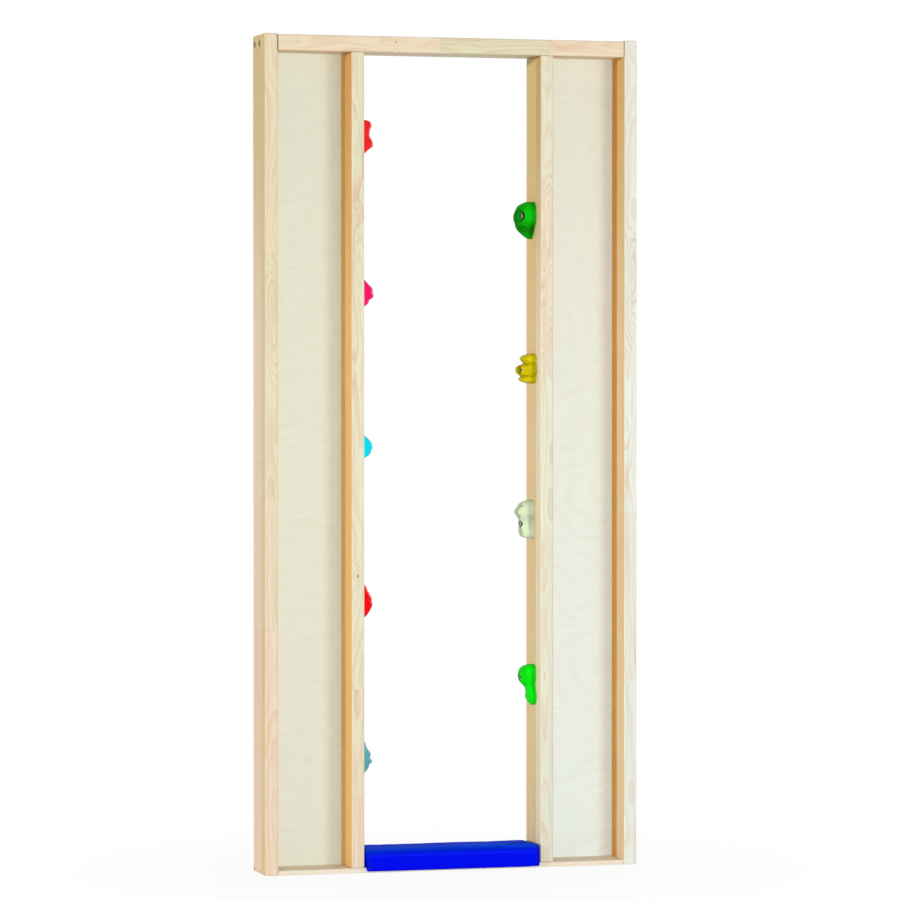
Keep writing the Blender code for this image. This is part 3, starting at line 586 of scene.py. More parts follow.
FINISHES = {
    "post_outer_left": pine("pine_outer_left", (-0.441, 0.012), (
        (0.0, 0.15, 0.55, 0.85), (0.588, 0.62, 0.65, 0.40), (0.904, 0.33, 0.90, 0.15),
        (1.480, 0.85, 0.60, 0.45)), paint(227, 220, 186), knots=(((-0.464, 0.0, 0.981), 0.0032),),
        figures=(((-0.446, -0.060, 1.370), 0.0040, 0.9), ((-0.442, -0.060, 1.250), 0.0036, 0.8)),
        sides=(-0.448, OUTSIDE, BAY_WALL)),
    "post_inner_left": pine("pine_inner_left", (-0.246, 0.020), (
        (0.0, 0.45, 0.55, 0.75), (0.184, 0.12, 0.65, 0.35), (0.443, 0.70, 0.60, 0.15),
        (1.130, 0.26, 0.85, 0.15)), paint(229, 225, 198),
        knots=(((-0.236, -0.060, 0.71), 0.0030), ((-0.238, -0.060, 1.585), 0.0018),),
        figures=(((-0.234, -0.060, 1.440), 0.0036, 0.9),),
        sides=(-0.236, LEFT_BAY, PASSAGE)),
    "post_inner_right": pine("pine_inner_right", (0.247, 0.015), (
        (0.0, 0.52, 0.50, 0.10), (0.720, 0.22, 0.55, 0.15), (1.249, 0.90, 1.00, 0.60),
        (1.640, 0.38, 0.70, 0.30)), paint(226, 228, 208), knots=(((0.2300, -0.058, 1.330), 0.0020),),
        figures=(((0.2400, -0.058, 1.575), 0.0035, 1.3), ((0.2470, -0.058, 1.395), 0.0030, 1.0),
                 ((0.2290, -0.058, 1.290), 0.0026, 0.8)),
        sides=(0.236, PASSAGE, BAY_WALL)),
    "post_outer_right": pine("pine_outer_right", (0.456, 0.010), (
        (0.0, 0.30, 0.55, 0.05), (0.452, 0.75, 0.60, 0.20), (0.856, 0.48, 0.85, 0.00),
        (1.520, 0.18, 0.60, 0.10)), paint(231, 235, 224),
        figures=(((0.450, -0.060, 1.420), 0.0042, 1.2),), sides=(0.448, RIGHT_BAY, OUTSIDE)),
    "header_rail": pine("pine_header", (1.975, 0.010), (
        (-0.5, 0.40, 0.70, 0.75), (-0.240, 0.82, 0.65, 0.10), (0.034, 0.25, 0.60, 0.70)),
        paint(225, 220, 187), lying=True, knots=(((-0.142, -0.060, 1.985), 0.0025),),
        gap_shadows=((-0.4320, 0.0016), (0.4320, 0.0008))),
    "base_plate": pine("pine_base", (0.060, 0.020), (
        (-0.5, 0.60, 0.30, 0.40), (0.050, 0.35, 0.25, 0.20)), paint(238, 233, 218), lying=True),
    "panel_left": birch_ply("birch_left", paint(231, 236, 223), paint(224, 227, 210)),
    "panel_right": birch_ply("birch_right", paint(236, 247, 247), paint(228, 229, 214)),
}
# The bolts' marked rims are painted bright: partly wear, partly a painted highlight.
BOLT_STEEL = metal("bolt_steel", paint(38, 42, 42), 0.20, 2200.0, wear_and_highlight=paint(186, 192, 188), bare=0.7)
WASHER_STEEL = metal("washer_steel", paint(150, 152, 152), 0.34, 1800.0)
SCREW_STEEL = metal("screw_steel", paint(120, 106, 84), 0.36, 2600.0)
BRONZED_STEEL = metal("bronzed_steel", paint(112, 92, 56), 0.34, 1900.0)
SLEEVE_STEEL = metal("sleeve_steel", paint(168, 160, 140), 0.38, 1800.0)
# Painted light and shade by height: the dark bottom stop is a painted shadow along the bottom edge, the lighter band
# at 0.74 is painted light, and the greener stops towards the top are a painted reflection of the sky on the rounded
# edge and top.
MAT_VINYL = vinyl("mat_vinyl", (
    (0.02, paint(0, 4, 130)), (0.06, paint(0, 9, 236)), (0.66, paint(0, 14, 240)), (0.74, paint(8, 32, 248)),
    (0.79, paint(0, 20, 238)), (0.86, paint(0, 30, 218)), (0.935, paint(0, 52, 212)), (0.985, paint(0, 68, 250))))


# ---------------------------------------------------------------- surfaces
def make_surface(name, points, material, crisp=math.radians(40), mark=None):
    """A closed surface from a grid of points, whose rows run round and whose first and last rows
    have shrunk to a point or meet each other.

    points is rows by columns by 3. Equal points at a row of no size become one, and triangles of no
    area go. The faces are turned outwards by the sign of the volume that they enclose. mark is a
    number for each point, or for each row, that the material reads as the attribute "mark".
    """
    rows, columns = points.shape[:2]
    index = np.arange(rows * columns).reshape(rows, columns)
    small = np.ptp(points, axis=1).max(axis=1) < 1e-7
    index[small] = index[small][:, :1]
    right = np.roll(index, -1, axis=1)
    a, b, c, d = index[:-1], right[:-1], right[1:], index[1:]
    triangles = np.concatenate([np.stack([a, b, c], -1).reshape(-1, 3), np.stack([a, c, d], -1).reshape(-1, 3)])
    same = (triangles == np.roll(triangles, 1, axis=1)).any(axis=1)
    triangles = triangles[~same]
    used, triangles = np.unique(triangles, return_inverse=True)
    triangles = triangles.reshape(-1, 3)
    vertices = points.reshape(-1, 3)[used]
    corners = vertices[triangles]
    volume = np.einsum("ij,ij->i", corners[:, 0], np.cross(corners[:, 1], corners[:, 2])).sum()
    if volume < 0:
        triangles = triangles[:, ::-1]
    mesh = bpy.data.meshes.new(name)
    mesh.vertices.add(len(vertices))
    mesh.vertices.foreach_set("co", vertices.astype(np.float32).ravel())
    mesh.loops.add(triangles.size)
    mesh.loops.foreach_set("vertex_index", triangles.astype(np.int32).ravel())
    mesh.polygons.add(len(triangles))
    mesh.polygons.foreach_set("loop_start", np.arange(0, triangles.size, 3, dtype=np.int32))
    mesh.update(calc_edges=True)
    mesh.validate()
    if mark is not None:
        values = np.broadcast_to(mark, (rows, columns)).reshape(-1)[used].astype(np.float32)
        mesh.attributes.new("mark", "FLOAT", "POINT").data.foreach_set("value", values)
    mesh.shade_smooth()
    mesh.set_sharp_from_angle(angle=crisp)
    mesh.materials.append(material)
    piece = bpy.data.objects.new(name, mesh)
    scene.collection.objects.link(piece)
    return piece


def full_turn(count):
    """Angles at even steps round a full turn."""
    return np.linspace(0, 2 * math.pi, count, endpoint=False)


def head_place(name, outward):
    """The middle of the outer end of a screw."""
    low, high = np.array(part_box(name))
    return (low + high) / 2 + np.array(outward, dtype=float) * (high - low) / 2


def turned(radii, heights, angles, place, outward):
    """Rings round an axis, as a grid of points: ring i is radii[i] out and heights[i] up along it."""
    axis = np.array(outward, dtype=float)
    first = np.array((0.0, 1.0, 0.0)) if abs(axis[1]) < 0.5 else np.array((1.0, 0.0, 0.0))
    second = np.cross(axis, first)
    around = (np.cos(angles)[:, None] * first + np.sin(angles)[:, None] * second)[None]
    radii = np.broadcast_to(radii, (len(heights), len(angles)))
    return np.array(place) + radii[..., None] * around + np.broadcast_to(
        heights, (len(angles), len(heights))).T[..., None] * axis


def smooth_curve(at, places, values):
    """A smooth curve through points, as a cubic whose slopes come from each point's neighbours."""
    slopes = np.gradient(values, places)
    index = np.clip(np.searchsorted(places, at) - 1, 0, len(places) - 2)
    span = places[index + 1] - places[index]
    t = np.clip((at - places[index]) / span, 0.0, 1.0)
    return ((2 * t**3 - 3 * t**2 + 1) * values[index] + (t**3 - 2 * t**2 + t) * span * slopes[index]
            + (3 * t**2 - 2 * t**3) * values[index + 1] + (t**3 - t**2) * span * slopes[index + 1])


def hold_outline(spec, angles):
    """The radius of a hold's foot at each angle round the bolt, its corners eased over a few degrees."""
    rows = np.array(spec["rows"][::-1], dtype=float) / 1000
    places = rows[:, 0]
    heights = np.linspace(places[0], places[-1], 240)
    front, back = smooth_curve(heights, places, rows[:, 2]), smooth_curve(heights, places, rows[:, 3])
    sides = [np.column_stack([front, heights]), np.column_stack([-back, heights])]
    for end, front_end, back_end in ((places[0], front[0], back[0]), (places[-1], front[-1], back[-1])):
        across = np.linspace(-back_end, front_end, 41)
        sides.append(np.column_stack([across, np.full_like(across, end)]))
    loop = np.vstack(sides)
    turn = np.arctan2(loop[:, 1], loop[:, 0])
    order = np.argsort(turn)
    radius = np.interp(angles, turn[order], np.hypot(loop[:, 0], loop[:, 1])[order], period=2 * math.pi)
    steps = np.arange(-8, 9)
    weights = np.exp(-(steps / 2.6) ** 2)
    return sum(np.roll(radius, step) * weight for step, weight in zip(steps, weights)) / weights.sum()


def hold_height(spec, forward, upward):
    """How far a hold's skin stands off the post, over a grid of places.

    Each section is a rounded arch from its crest, which leans to one side, down to either edge.
    Dishes are hollows with a bell-shaped section, rims are rings with one, creases are grooves whose
    sides run steeply into the bottom, folds are a sine, and three slow waves make the skin uneven.
    """
    rows = np.array(spec["rows"][::-1], dtype=float) / 1000
    places = rows[:, 0]
    at = np.clip(upward, places[0], places[-1])
    crown, front, back = (smooth_curve(at, places, rows[:, k]) for k in (1, 2, 3))
    offset = (forward - (front - back) / 2) / ((front + back) / 2)
    lean = spec["lean"]
    share = np.clip(np.abs(offset - lean) / np.where(offset > lean, 1 - lean, 1 + lean), 0.0, 1.0)
    arch = np.sqrt(1 - share ** spec.get("power", SECTION_POWER))
    height = FOOT_HEIGHT + (crown - FOOT_HEIGHT) * arch
    for dish_forward, dish_upward, radius, depth in spec["dishes"]:
        away = (forward * 1000 - dish_forward) ** 2 + (upward * 1000 - dish_upward) ** 2
        height = height - depth / 1000 * np.exp(-away / radius**2)
    for rim_forward, rim_upward, radius, width, rise in spec.get("rims", ()):
        away = np.hypot(forward * 1000 - rim_forward, upward * 1000 - rim_upward)
        height = height + rise / 1000 * arch * np.exp(-((away - radius) / width) ** 2)
    for middle, slope, width, depth in spec["creases"]:
        off = upward * 1000 - middle - slope * forward * 1000
        height = height - depth / 1000 * arch * np.exp(-(np.abs(off) / width) ** 1.4)
    if "folds" in spec:
        start, slope, length, rise = spec["folds"]
        below = np.clip((start - upward * 1000) / 10, 0, 1)
        turn = (forward * 1000 + slope * upward * 1000) * 2 * math.pi / length
        height = height + rise / 1000 * arch * below * np.sin(turn)
    waves = (np.sin(forward * 210 + upward * 95 + crown[0, 0] * 900) + np.sin(upward * 260 - forward * 130)
             + np.sin(forward * 330 + upward * 310))
    return np.maximum(height + 0.00022 * waves * arch, FOOT_HEIGHT)


def bolt_place(label):
    """The point where a hold's bolt meets the post's face, and the way that the hold faces."""
    side = -1 if label.startswith("left") else 1
    low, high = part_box(f"hold_{label}_bolt")
    return (side * (PASSAGE_HALF - GAP), (low[1] + high[1]) / 2, (low[2] + high[2]) / 2), (-side, 0, 0)


def make_hold(label, spec):
    """A hold's skin as rings round its bolt: bore, seat, recess wall, rounded mouth, skin and back.

    Its mark is painted light and shade: how much lower a point lies than the mean of four points
    2.8 mm away, above nothing where the skin dips and below on a ridge, fading out at the foot, with
    the hold's own painted light and shade added, and painted shade down the bore and recess.
    """
    place, outward = bolt_place(label)
    angles = full_turn(HOLD_ANGLES)
    cosine, sine = np.cos(angles), np.sin(angles)
    outline = hold_outline(spec, angles)
    seat = spec["seat"] / 1000
    radii = [BORE_RADIUS, BORE_RADIUS, RECESS_RADIUS]
    heights = [0.0, seat, seat]
    ring_radii = [np.full(HOLD_ANGLES, radius) for radius in radii]
    ring_heights = [np.full(HOLD_ANGLES, height) for height in heights]
    mouth = hold_height(spec, (RECESS_RADIUS * cosine)[None], (RECESS_RADIUS * sine)[None])[0]
    for down, out in ((0.0008, 0.0), (0.0003, 0.0001), (0.00008, 0.00035)):
        ring_radii.append(np.full(HOLD_ANGLES, RECESS_RADIUS + out))
        ring_heights.append(np.maximum(mouth - down, seat))
    share = np.sin(np.linspace(0.05, 1, HOLD_RINGS) * math.pi / 2)[:, None]
    skin_radii = RECESS_RADIUS + share * (outline - RECESS_RADIUS)
    forward, upward = skin_radii * cosine, skin_radii * sine
    skin = hold_height(spec, forward, upward)
    step = 0.0028
    round_about = sum(hold_height(spec, forward + along * step, upward + up * step)
                      for along, up in ((1, 0), (-1, 0), (0, 1), (0, -1))) / 4
    # Painted shade where the skin lies lower than round about it and painted light on its ridges.
    painted_shading = 0.45 * np.clip((round_about - skin) / 0.0009, -1, 1) * np.clip((1 - share) / 0.08, 0, 1)
    for shade_forward, shade_upward, across, along, amount in spec.get("painted_light_and_shade", ((0, 0, 200, 200, -0.9),)):
        away = (((forward * 1000 - shade_forward) / across) ** 2 + ((upward * 1000 - shade_upward) / along) ** 2)
        painted_shading = painted_shading + amount * np.exp(-away)
    painted_shading = np.clip(painted_shading, -1, 1)
    foot = np.array([[0.0006, 0.72], [0.0009, 0.40], [0.0009, 0.12], [0.0003, 0.0]])
    foot_radii = outline - 0.0009 + foot[:, :1]
    foot_heights = np.broadcast_to(FOOT_HEIGHT * foot[:, 1:], foot_radii.shape)
    skin_radii = np.minimum(skin_radii, outline - 0.0004)
    radii = np.vstack([ring_radii, skin_radii, foot_radii])
    heights = np.vstack([ring_heights, skin, foot_heights])
    radii = np.vstack([radii, radii[:1]])
    heights = np.vstack([heights, heights[:1]])
    # Painted shade down the bore, seat and recess wall, fading to painted light on the mouth's edge.
    recess_shade_marks = np.array([[0.6], [0.6], [0.6], [0.3], [0.0], [-0.3]])
    mark = np.vstack([np.broadcast_to(recess_shade_marks, (6, HOLD_ANGLES)), painted_shading,
                      np.broadcast_to(painted_shading[-1:], (len(foot) + 1, HOLD_ANGLES))])
    points = np.stack([place[0] + outward[0] * heights, place[1] - radii * cosine, place[2] + radii * sine], -1)
    piece = make_surface(f"hold_{label}_skin", points, cast_resin(f"resin_{label}", paint(*spec["colour"])),
                         mark=mark)
    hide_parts(f"hold_{label}")
    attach(piece, f"hold_{label}_body")


def make_bolt(label, spec):
    """A cap bolt: hexagon socket, dished rim, dark knurled side, plain shank. Its rim is painted bright, partly as
    wear and partly as a painted highlight.

    The socket's radius is the across-flats half width over the cosine of the angle from the nearest
    flat's middle. The knurl takes a cosine of 48 waves off the head's radius.
    """
    place, outward = bolt_place(label)
    angles = full_turn(BOLT_ANGLES)
    from_flat = np.mod(angles, math.pi / 3) - math.pi / 6
    hexagon = SOCKET_ACROSS_FLATS / 2 / np.cos(from_flat)
    ring = np.ones(BOLT_ANGLES)
    knurl = 1 - 0.022 * (0.5 + 0.5 * np.cos(48 * angles))
    under = spec["seat"] / 1000 + WASHER_THICKNESS + 2 * GAP
    top = under + BOLT_HEAD_HEIGHT
    head, shank = BOLT_HEAD_RADIUS, BOLT_RADIUS
    rim = SOCKET_ACROSS_FLATS / math.sqrt(3) + 0.0004
    bottom = top - SOCKET_DEPTH
    rows = [(0 * ring, bottom - 0.0008), (0.80 * hexagon, bottom), (hexagon, bottom), (hexagon, bottom + 0.0002),
            (hexagon, top - 0.0005), (hexagon + 0.0001, top - 0.0003), (ring * rim, top)]
    for turn in np.linspace(0, 75, 6):
        bend = math.radians(turn)
        rows.append((ring * (head - 0.0011 + 0.0010 * math.sin(bend)), top - 0.0010 * (1 - math.cos(bend))))
    rows += [(head * knurl, top - 0.0014), (head * knurl, under + 0.0016), (head * ring - 0.0001, under + 0.0012),
             (head * ring - 0.0001, under + 0.0003), (head * ring - 0.0004, under), (ring * (shank + 0.0003), under),
             (ring * shank, under - 0.0003), (ring * shank, 0.0008 - BOLT_ENGAGEMENT),
             (ring * (shank - 0.0008), -BOLT_ENGAGEMENT), (0 * ring, -BOLT_ENGAGEMENT)]
    radii, heights = map(np.array, zip(*rows))
    points = turned(radii, heights, angles, place, outward)
    mark = np.zeros(len(rows))
    # Painted bright on the socket's edge, rim and dome: partly wear, partly a painted highlight.
    mark[5:13] = 0.55, 0.9, 0.75, 0.75, 0.9, 1.0, 0.8, 0.5
    mark[14:16] = 0.0, 0.15
    piece = make_surface(f"hold_{label}_cap_bolt", points, BOLT_STEEL, crisp=math.radians(28), mark=mark[:, None])
    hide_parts(f"hold_{label}_bolt")
    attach(piece, "frame")


def make_washer(label, spec):
    """A flat ring with eased edges, as a closed profile of radius and height carried round."""
    place, outward = bolt_place(label)
    angles = full_turn(72)
    low = spec["seat"] / 1000 + GAP
    high = low + WASHER_THICKNESS
    ease = 0.00025
    inner, outer = BORE_RADIUS, WASHER_RADIUS
    profile = np.array([(outer, low + ease), (outer, high - 2 * ease), (outer - ease, high - ease / 2),
                        (outer - 2 * ease, high), (inner + ease, high), (inner, high - ease), (inner, low + ease),
                        (inner + ease, low), (outer - ease, low), (outer, low + ease)])
    points = turned(profile[:, :1], profile[:, 1], angles, place, outward)
    piece = make_surface(f"hold_{label}_flat_washer", points, WASHER_STEEL, crisp=math.radians(35))
    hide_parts(f"hold_{label}_washer")
    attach(piece, f"hold_{label}_body")


def make_screw(name, outward):
    """A countersunk screw: a cross recess sunk in a domeless head, a cone, a shank and a point.

    The recess is as deep as the nearer of two crossed bars lets it be: full depth at the middle of a
    bar, none outside its half width, and shallower towards the bar's ends.
    """
    angles = full_turn(SCREW_ANGLES)
    out = np.concatenate([[0.0], np.linspace(0.0002, 0.0032, 15), [0.0037, SCREW_HEAD_RADIUS - 0.0001]])[:, None]
    x, y = out * np.cos(angles), out * np.sin(angles)
    bar = np.minimum(np.abs(x), np.abs(y))
    along = np.maximum(np.abs(x), np.abs(y))
    depth = 0.0019 * np.clip((0.00062 - bar) / 0.00016, 0, 1) * np.clip((0.0024 - along) / 0.0009, 0, 1)
    shank = SCREW_RADIUS
    rows = np.array([(SCREW_HEAD_RADIUS, -0.0001), (shank + 0.0004, -0.0023), (shank, -0.0027),
                     (shank, -SCREW_LENGTH + 0.006), (shank * 0.45, -SCREW_LENGTH + 0.002), (0.0, -SCREW_LENGTH)])
    axis = np.array(outward, dtype=float)
    place = head_place(name, outward)
    top = turned(out, np.zeros(len(out)), angles, place, outward) - depth[..., None] * axis
    below = turned(rows[:, :1], rows[:, 1], angles, place, outward)
    piece = make_surface(f"{name}_cross", np.concatenate([top, below]), SCREW_STEEL, crisp=math.radians(38))
    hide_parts(name)
    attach(piece, "frame")


def make_timber_screw(name, outward):
    """A timber screw: a domed flat head with a star socket, a shank and a point.

    The socket's radius swings six times round between its lobes and its hollows. The dome is part of
    a circle, lowest at its rim.
    """
    angles = full_turn(SCREW_ANGLES * 2)
    ring = np.ones(len(angles))
    star = 0.0027 + 0.0004 * np.cos(6 * angles)
    head = TIMBER_SCREW_HEAD_RADIUS
    out = np.linspace(0.0034, head - 0.0006, 9)
    rows = [(0 * ring, -0.0017), (0.7 * star, -0.0016), (star, -0.0015), (star, -0.0002), (star + 0.00015, -0.00003)]
    rows += [(radius * ring, -0.0005 * (radius / head) ** 2) for radius in out]
    rows += [(ring * (head - 0.0002), -0.0006), (ring * head, -0.0009), (ring * head, -TIMBER_SCREW_HEAD_HEIGHT),
             (ring * 0.0034, -TIMBER_SCREW_HEAD_HEIGHT), (ring * 0.0030, -TIMBER_SCREW_HEAD_HEIGHT - 0.0006),
             (ring * 0.0030, -TIMBER_SCREW_LENGTH + 0.009), (ring * 0.0012, -TIMBER_SCREW_LENGTH + 0.002),
             (0 * ring, -TIMBER_SCREW_LENGTH)]
    radii, heights = map(np.array, zip(*rows))
    points = turned(radii, heights, angles, head_place(name, outward), outward)
    piece = make_surface(f"{name}_star", points, BRONZED_STEEL, crisp=math.radians(32))
    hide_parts(name)
    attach(piece, "frame")


# ---------------------------------------------------------------- mat
MAT_LOW, MAT_HIGH = np.array((-0.2170, -0.0730, 0.0008)), np.array((0.2170, 0.0600, MAT_HEIGHT))
LIP_Y = -0.0603
SEAT_Z = BASE_THICKNESS + GAP
VOXEL_SIZE = 0.004
CLOTH_FRAMES = 20
CLOTH = {"quality": 6, "mass": 0.3, "tension_stiffness": 25, "compression_stiffness": 25, "shear_stiffness": 8,
         "bending_stiffness": 2.0, "use_pressure": True, "uniform_pressure_force": 4.0}


def rounded_corners(corners, radii, steps=7):
    """A closed outline with each corner replaced by a quarter turn of its radius."""
    loop = []
    for i, (corner, radius) in enumerate(zip(corners, radii)):
        before, after = corners[i - 1], corners[(i + 1) % len(corners)]
        toward_before = (before - corner) / np.linalg.norm(before - corner)
        toward_after = (after - corner) / np.linalg.norm(after - corner)
        middle = corner + radius * (toward_before + toward_after)
        turn = np.linspace(0, math.pi / 2, steps)[:, None]
        loop.append(middle - radius * (np.cos(turn) * toward_after + np.sin(turn) * toward_before))
    return np.concatenate(loop)


def mat_blank(inset):
    """The mat before it is puffed up: an L-shaped section carried along X, its ends rounded over.

    The section is drawn in by a quarter circle at either end, its hanging lip sideways only, and
    closes on a flat end.
    """
    low, high = MAT_LOW + inset, MAT_HIGH - inset
    corners = np.array([(low[1], low[2]), (low[1], high[2]), (high[1], high[2]), (high[1], SEAT_Z + inset[2] * 0.3),
                        (LIP_Y - inset[1] * 0.3, SEAT_Z + inset[2] * 0.3), (LIP_Y - inset[1] * 0.3, low[2])])
    section = rounded_corners(corners, (0.0025, 0.010, 0.009, 0.003, 0.001, 0.0025))
    centre = np.array(((low[1] + high[1]) / 2, (SEAT_Z + high[2]) / 2))
    ease = 0.0035
    turn = np.linspace(0, math.pi / 2, 6)
    end_x = high[0] - ease + ease * np.sin(turn)
    end_draw = ease * (1 - np.cos(turn))
    x = np.concatenate([[-high[0]], -end_x[::-1], np.linspace(-high[0] + ease, high[0] - ease, 60)[1:-1], end_x,
                        [high[0]]])
    draw = np.concatenate([[1.0], end_draw[::-1], np.zeros(58), end_draw, [1.0]])
    toward = centre - section
    lip = section[:, 1] < LIP_Y
    toward[lip, 1] *= np.clip((section[lip, 1] - 0.010) / 0.030, 0, 1)
    reach = np.linalg.norm(toward, axis=1, keepdims=True)
    moved = section[None] + toward[None] * np.minimum(draw[:, None, None] / reach[None], 1.0)
    return np.concatenate([np.broadcast_to(x[:, None, None], (len(x), len(section), 1)), moved], -1)


def fit_mat(points):
    """Points kept within the mat's own space, clear of posts, base plate and floor."""
    points = np.clip(points, MAT_LOW + 0.0002, MAT_HIGH + np.array((-0.0002, -0.0002, 0.0012)))
    over_plate = points[:, 1] > LIP_Y
    in_plate = over_plate & (points[:, 2] < SEAT_Z)
    near_lip = in_plate & (points[:, 1] - LIP_Y < SEAT_Z - points[:, 2])
    points[near_lip, 1] = LIP_Y
    points[in_plate & ~near_lip, 2] = SEAT_Z
    return points


def read_points(mesh):
    points = np.empty(len(mesh.vertices) * 3, dtype=np.float32)
    mesh.vertices.foreach_get("co", points)
    return points.reshape(-1, 3).astype(float)


def write_points(mesh, points):
    mesh.vertices.foreach_set("co", points.astype(np.float32).ravel())
    mesh.update()


def settle(piece):
    """Turn a piece's modifiers into its mesh, so that none is left on it."""
    evaluated = piece.evaluated_get(bpy.context.evaluated_depsgraph_get())
    mesh = bpy.data.meshes.new_from_object(evaluated)
    piece.modifiers.clear()
    piece.data = mesh


def make_mat():
    """Puff the blank up as cloth under pressure, then crease it and fit it to its space."""
    inset = np.array((0.0008, 0.0012, 0.0022))
    mat = make_surface("landing_mat_cover", mat_blank(inset), MAT_VINYL)
    voxels = mat.modifiers.new("even_mesh", "REMESH")
    voxels.mode = "VOXEL"
    voxels.voxel_size = VOXEL_SIZE
    settle(mat)
    before = read_points(mat.data)
    cloth = mat.modifiers.new("cover", "CLOTH")
    for key, value in CLOTH.items():
        setattr(cloth.settings, key, value)
    cloth.settings.effector_weights.gravity = 0.0
    cloth.point_cache.frame_start, cloth.point_cache.frame_end = 1, CLOTH_FRAMES
    for number in range(1, CLOTH_FRAMES + 1):
        scene.frame_set(number)
    settle(mat)
    scene.frame_set(1)
    after = read_points(mat.data)
    moved = after - before
    length = np.linalg.norm(moved, axis=1, keepdims=True)
    most = 0.0008 + 0.0052 * np.clip((before[:, 2:] - 0.008) / 0.030, 0, 1)
    after = before + moved * np.minimum(1.0, most / np.maximum(length, 1e-9))
    after = fit_mat(after)
    x, y, z = after.T
    front = np.clip((-y - 0.055) / 0.012, 0, 1) * np.clip((0.050 - z) / 0.012, 0, 1)
    slack = np.exp(-((x - 0.125) / 0.040) ** 2) + 0.35 * np.exp(-((x + 0.150) / 0.030) ** 2)
    after[:, 1] += 0.0006 * front * slack * (1 + np.sin(x * 2 * math.pi / 0.0135 + z * 55))
    top = np.clip((z - 0.048) / 0.004, 0, 1)
    after[:, 2] -= 0.0003 * top * (1 + np.sin(x * 31 + y * 20) * np.sin(x * 9 - y * 35))
    write_points(mat.data, fit_mat(after))
    finer = mat.modifiers.new("finer", "SUBSURF")
    finer.levels = finer.render_levels = 1
    settle(mat)
    write_points(mat.data, fit_mat(read_points(mat.data)))
    mat.data.shade_smooth()
    mat.data.materials.clear()
    mat.data.materials.append(MAT_VINYL)
    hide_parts("landing_mat")
    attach(mat, "mat")


# ---------------------------------------------------------------- pieces
for node_name, finish in FINISHES.items():
    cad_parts[node_name].material_slots[0].material = finish
for label, spec in HOLDS.items():
    make_hold(label, spec)
    make_bolt(label, spec)
    make_washer(label, spec)
    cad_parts[f"hold_{label}_sleeve"].material_slots[0].material = SLEEVE_STEEL
for name, outward in SCREWS.items():
    (make_timber_screw if "header" in name else make_screw)(name, outward)
make_mat()


# ---------------------------------------------------------------- floor, light and camera
def seen_share(tree):
    """1 for rays from the camera, off metal or through glass, and 0 for light that falls on things."""
    path = tree.nodes.new("ShaderNodeLightPath").outputs
    return calc(tree, "MAXIMUM", path["Is Camera Ray"],
                calc(tree, "MAXIMUM", path["Is Glossy Ray"], path["Is Transmission Ray"]))


def make_floor():
    """A wide pale floor that fades to plain white away from the frame, and keeps its shadow near it."""
    x, y = np.meshgrid((-60.0, 60.0), (-60.0, 60.0))
    corners = np.stack([x, y, np.full_like(x, -0.0005)], -1).reshape(-1, 3)
    mesh = bpy.data.meshes.new("floor")
    mesh.from_pydata(corners.tolist(), [], [(0, 1, 3, 2)])
    material = bpy.data.materials.new("pale_floor")
    material.use_nodes = True
    tree = material.node_tree
    shader = tree.nodes["Principled BSDF"]
    shader.inputs["Base Color"].default_value = (0.86, 0.86, 0.86, 1.0)
    shader.inputs["Roughness"].default_value = 0.9
    glow = put(tree, "ShaderNodeEmission", {"Color": (1, 1, 1, 1), "Strength": 1.0}).outputs[0]
    place = tree.nodes.new("ShaderNodeTexCoord").outputs["Object"]
    away = put(tree, "ShaderNodeVectorMath", {0: place}, operation="LENGTH").outputs["Value"]
    fade = ramp(tree, calc(tree, "DIVIDE", away, 4.0), ((0.10, 0.93), (0.28, 1.0)), "EASE")
    share = times(tree, seen_share(tree), fade)
    mixed = put(tree, "ShaderNodeMixShader", {0: share, 1: shader.outputs[0], 2: glow}).outputs[0]
    tree.links.new(mixed, tree.nodes["Material Output"].inputs["Surface"])
    mesh.materials.append(material)
    floor = bpy.data.objects.new("floor", mesh)
    scene.collection.objects.link(floor)


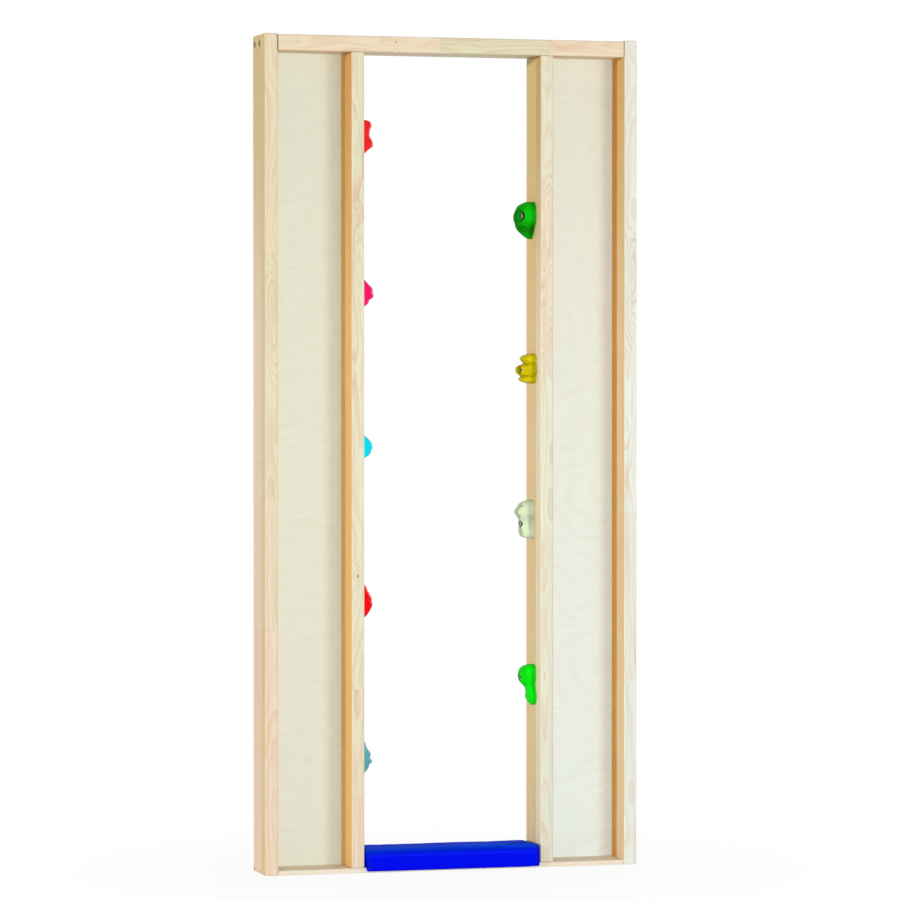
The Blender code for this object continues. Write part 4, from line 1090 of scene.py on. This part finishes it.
def make_lamp(name, kind, place, aim, strength, colour, size):
    lamp = bpy.data.lights.new(name, kind)
    lamp.energy = strength
    lamp.color = colour
    if kind == "SUN":
        lamp.angle = size
    else:
        lamp.shape = "DISK"
        lamp.size = size
    item = bpy.data.objects.new(name, lamp)
    item.location = place
    item.rotation_euler = (Vector(aim) - Vector(place)).to_track_quat("-Z", "Y").to_euler()
    scene.collection.objects.link(item)


SKY = 0.30


def make_sky():
    """Even light all round, and plain white where the camera or a glossy piece looks at it."""
    world = bpy.data.worlds.new("studio")
    world.use_nodes = True
    tree = world.node_tree
    strength = times_plus(tree, seen_share(tree), 1 - SKY, SKY)
    background = tree.nodes["Background"]
    background.inputs["Color"].default_value = (1, 1, 1, 1)
    tree.links.new(strength, background.inputs["Strength"])
    scene.world = world


make_floor()
make_sky()
make_lamp("front_softbox", "AREA", (-0.9, -7.5, 1.2), (0, 0, 1.0), 206.0, (0.97, 1.0, 1.0), 3.0)
make_lamp("right_softbox", "AREA", (2.4, -7.2, 1.4), (0, 0, 1.0), 112.0, (0.97, 1.0, 1.0), 2.2)
make_lamp("rear_softbox", "AREA", (5.4, 5.2, 1.8), (0, 0, 1.0), 260.0, (1.0, 0.99, 0.97), 3.0)
make_lamp("low_side_lamp", "SUN", (-9.55, -2.97, 1.5), (0, 0, 1.0), 1.30, (1.0, 0.97, 0.92), math.radians(0.8))

AZIMUTH = math.radians(-16.0)
DISTANCE = 10.5
PICTURE_HEIGHT = 2.172
CAMERA_HEIGHT = 1.200
camera_data = bpy.data.cameras.new("camera")
camera_data.lens = 36 * DISTANCE / PICTURE_HEIGHT
camera_data.clip_end = 200
camera = bpy.data.objects.new("camera", camera_data)
aim = Vector((0.0095, 0.0, 1.0090))
camera.location = (aim[0] + DISTANCE * math.sin(AZIMUTH), -DISTANCE * math.cos(AZIMUTH), CAMERA_HEIGHT)
camera.rotation_euler = (aim - camera.location).to_track_quat("-Z", "Y").to_euler()
scene.collection.objects.link(camera)
scene.camera = camera
scene.view_settings.view_transform = "Standard"
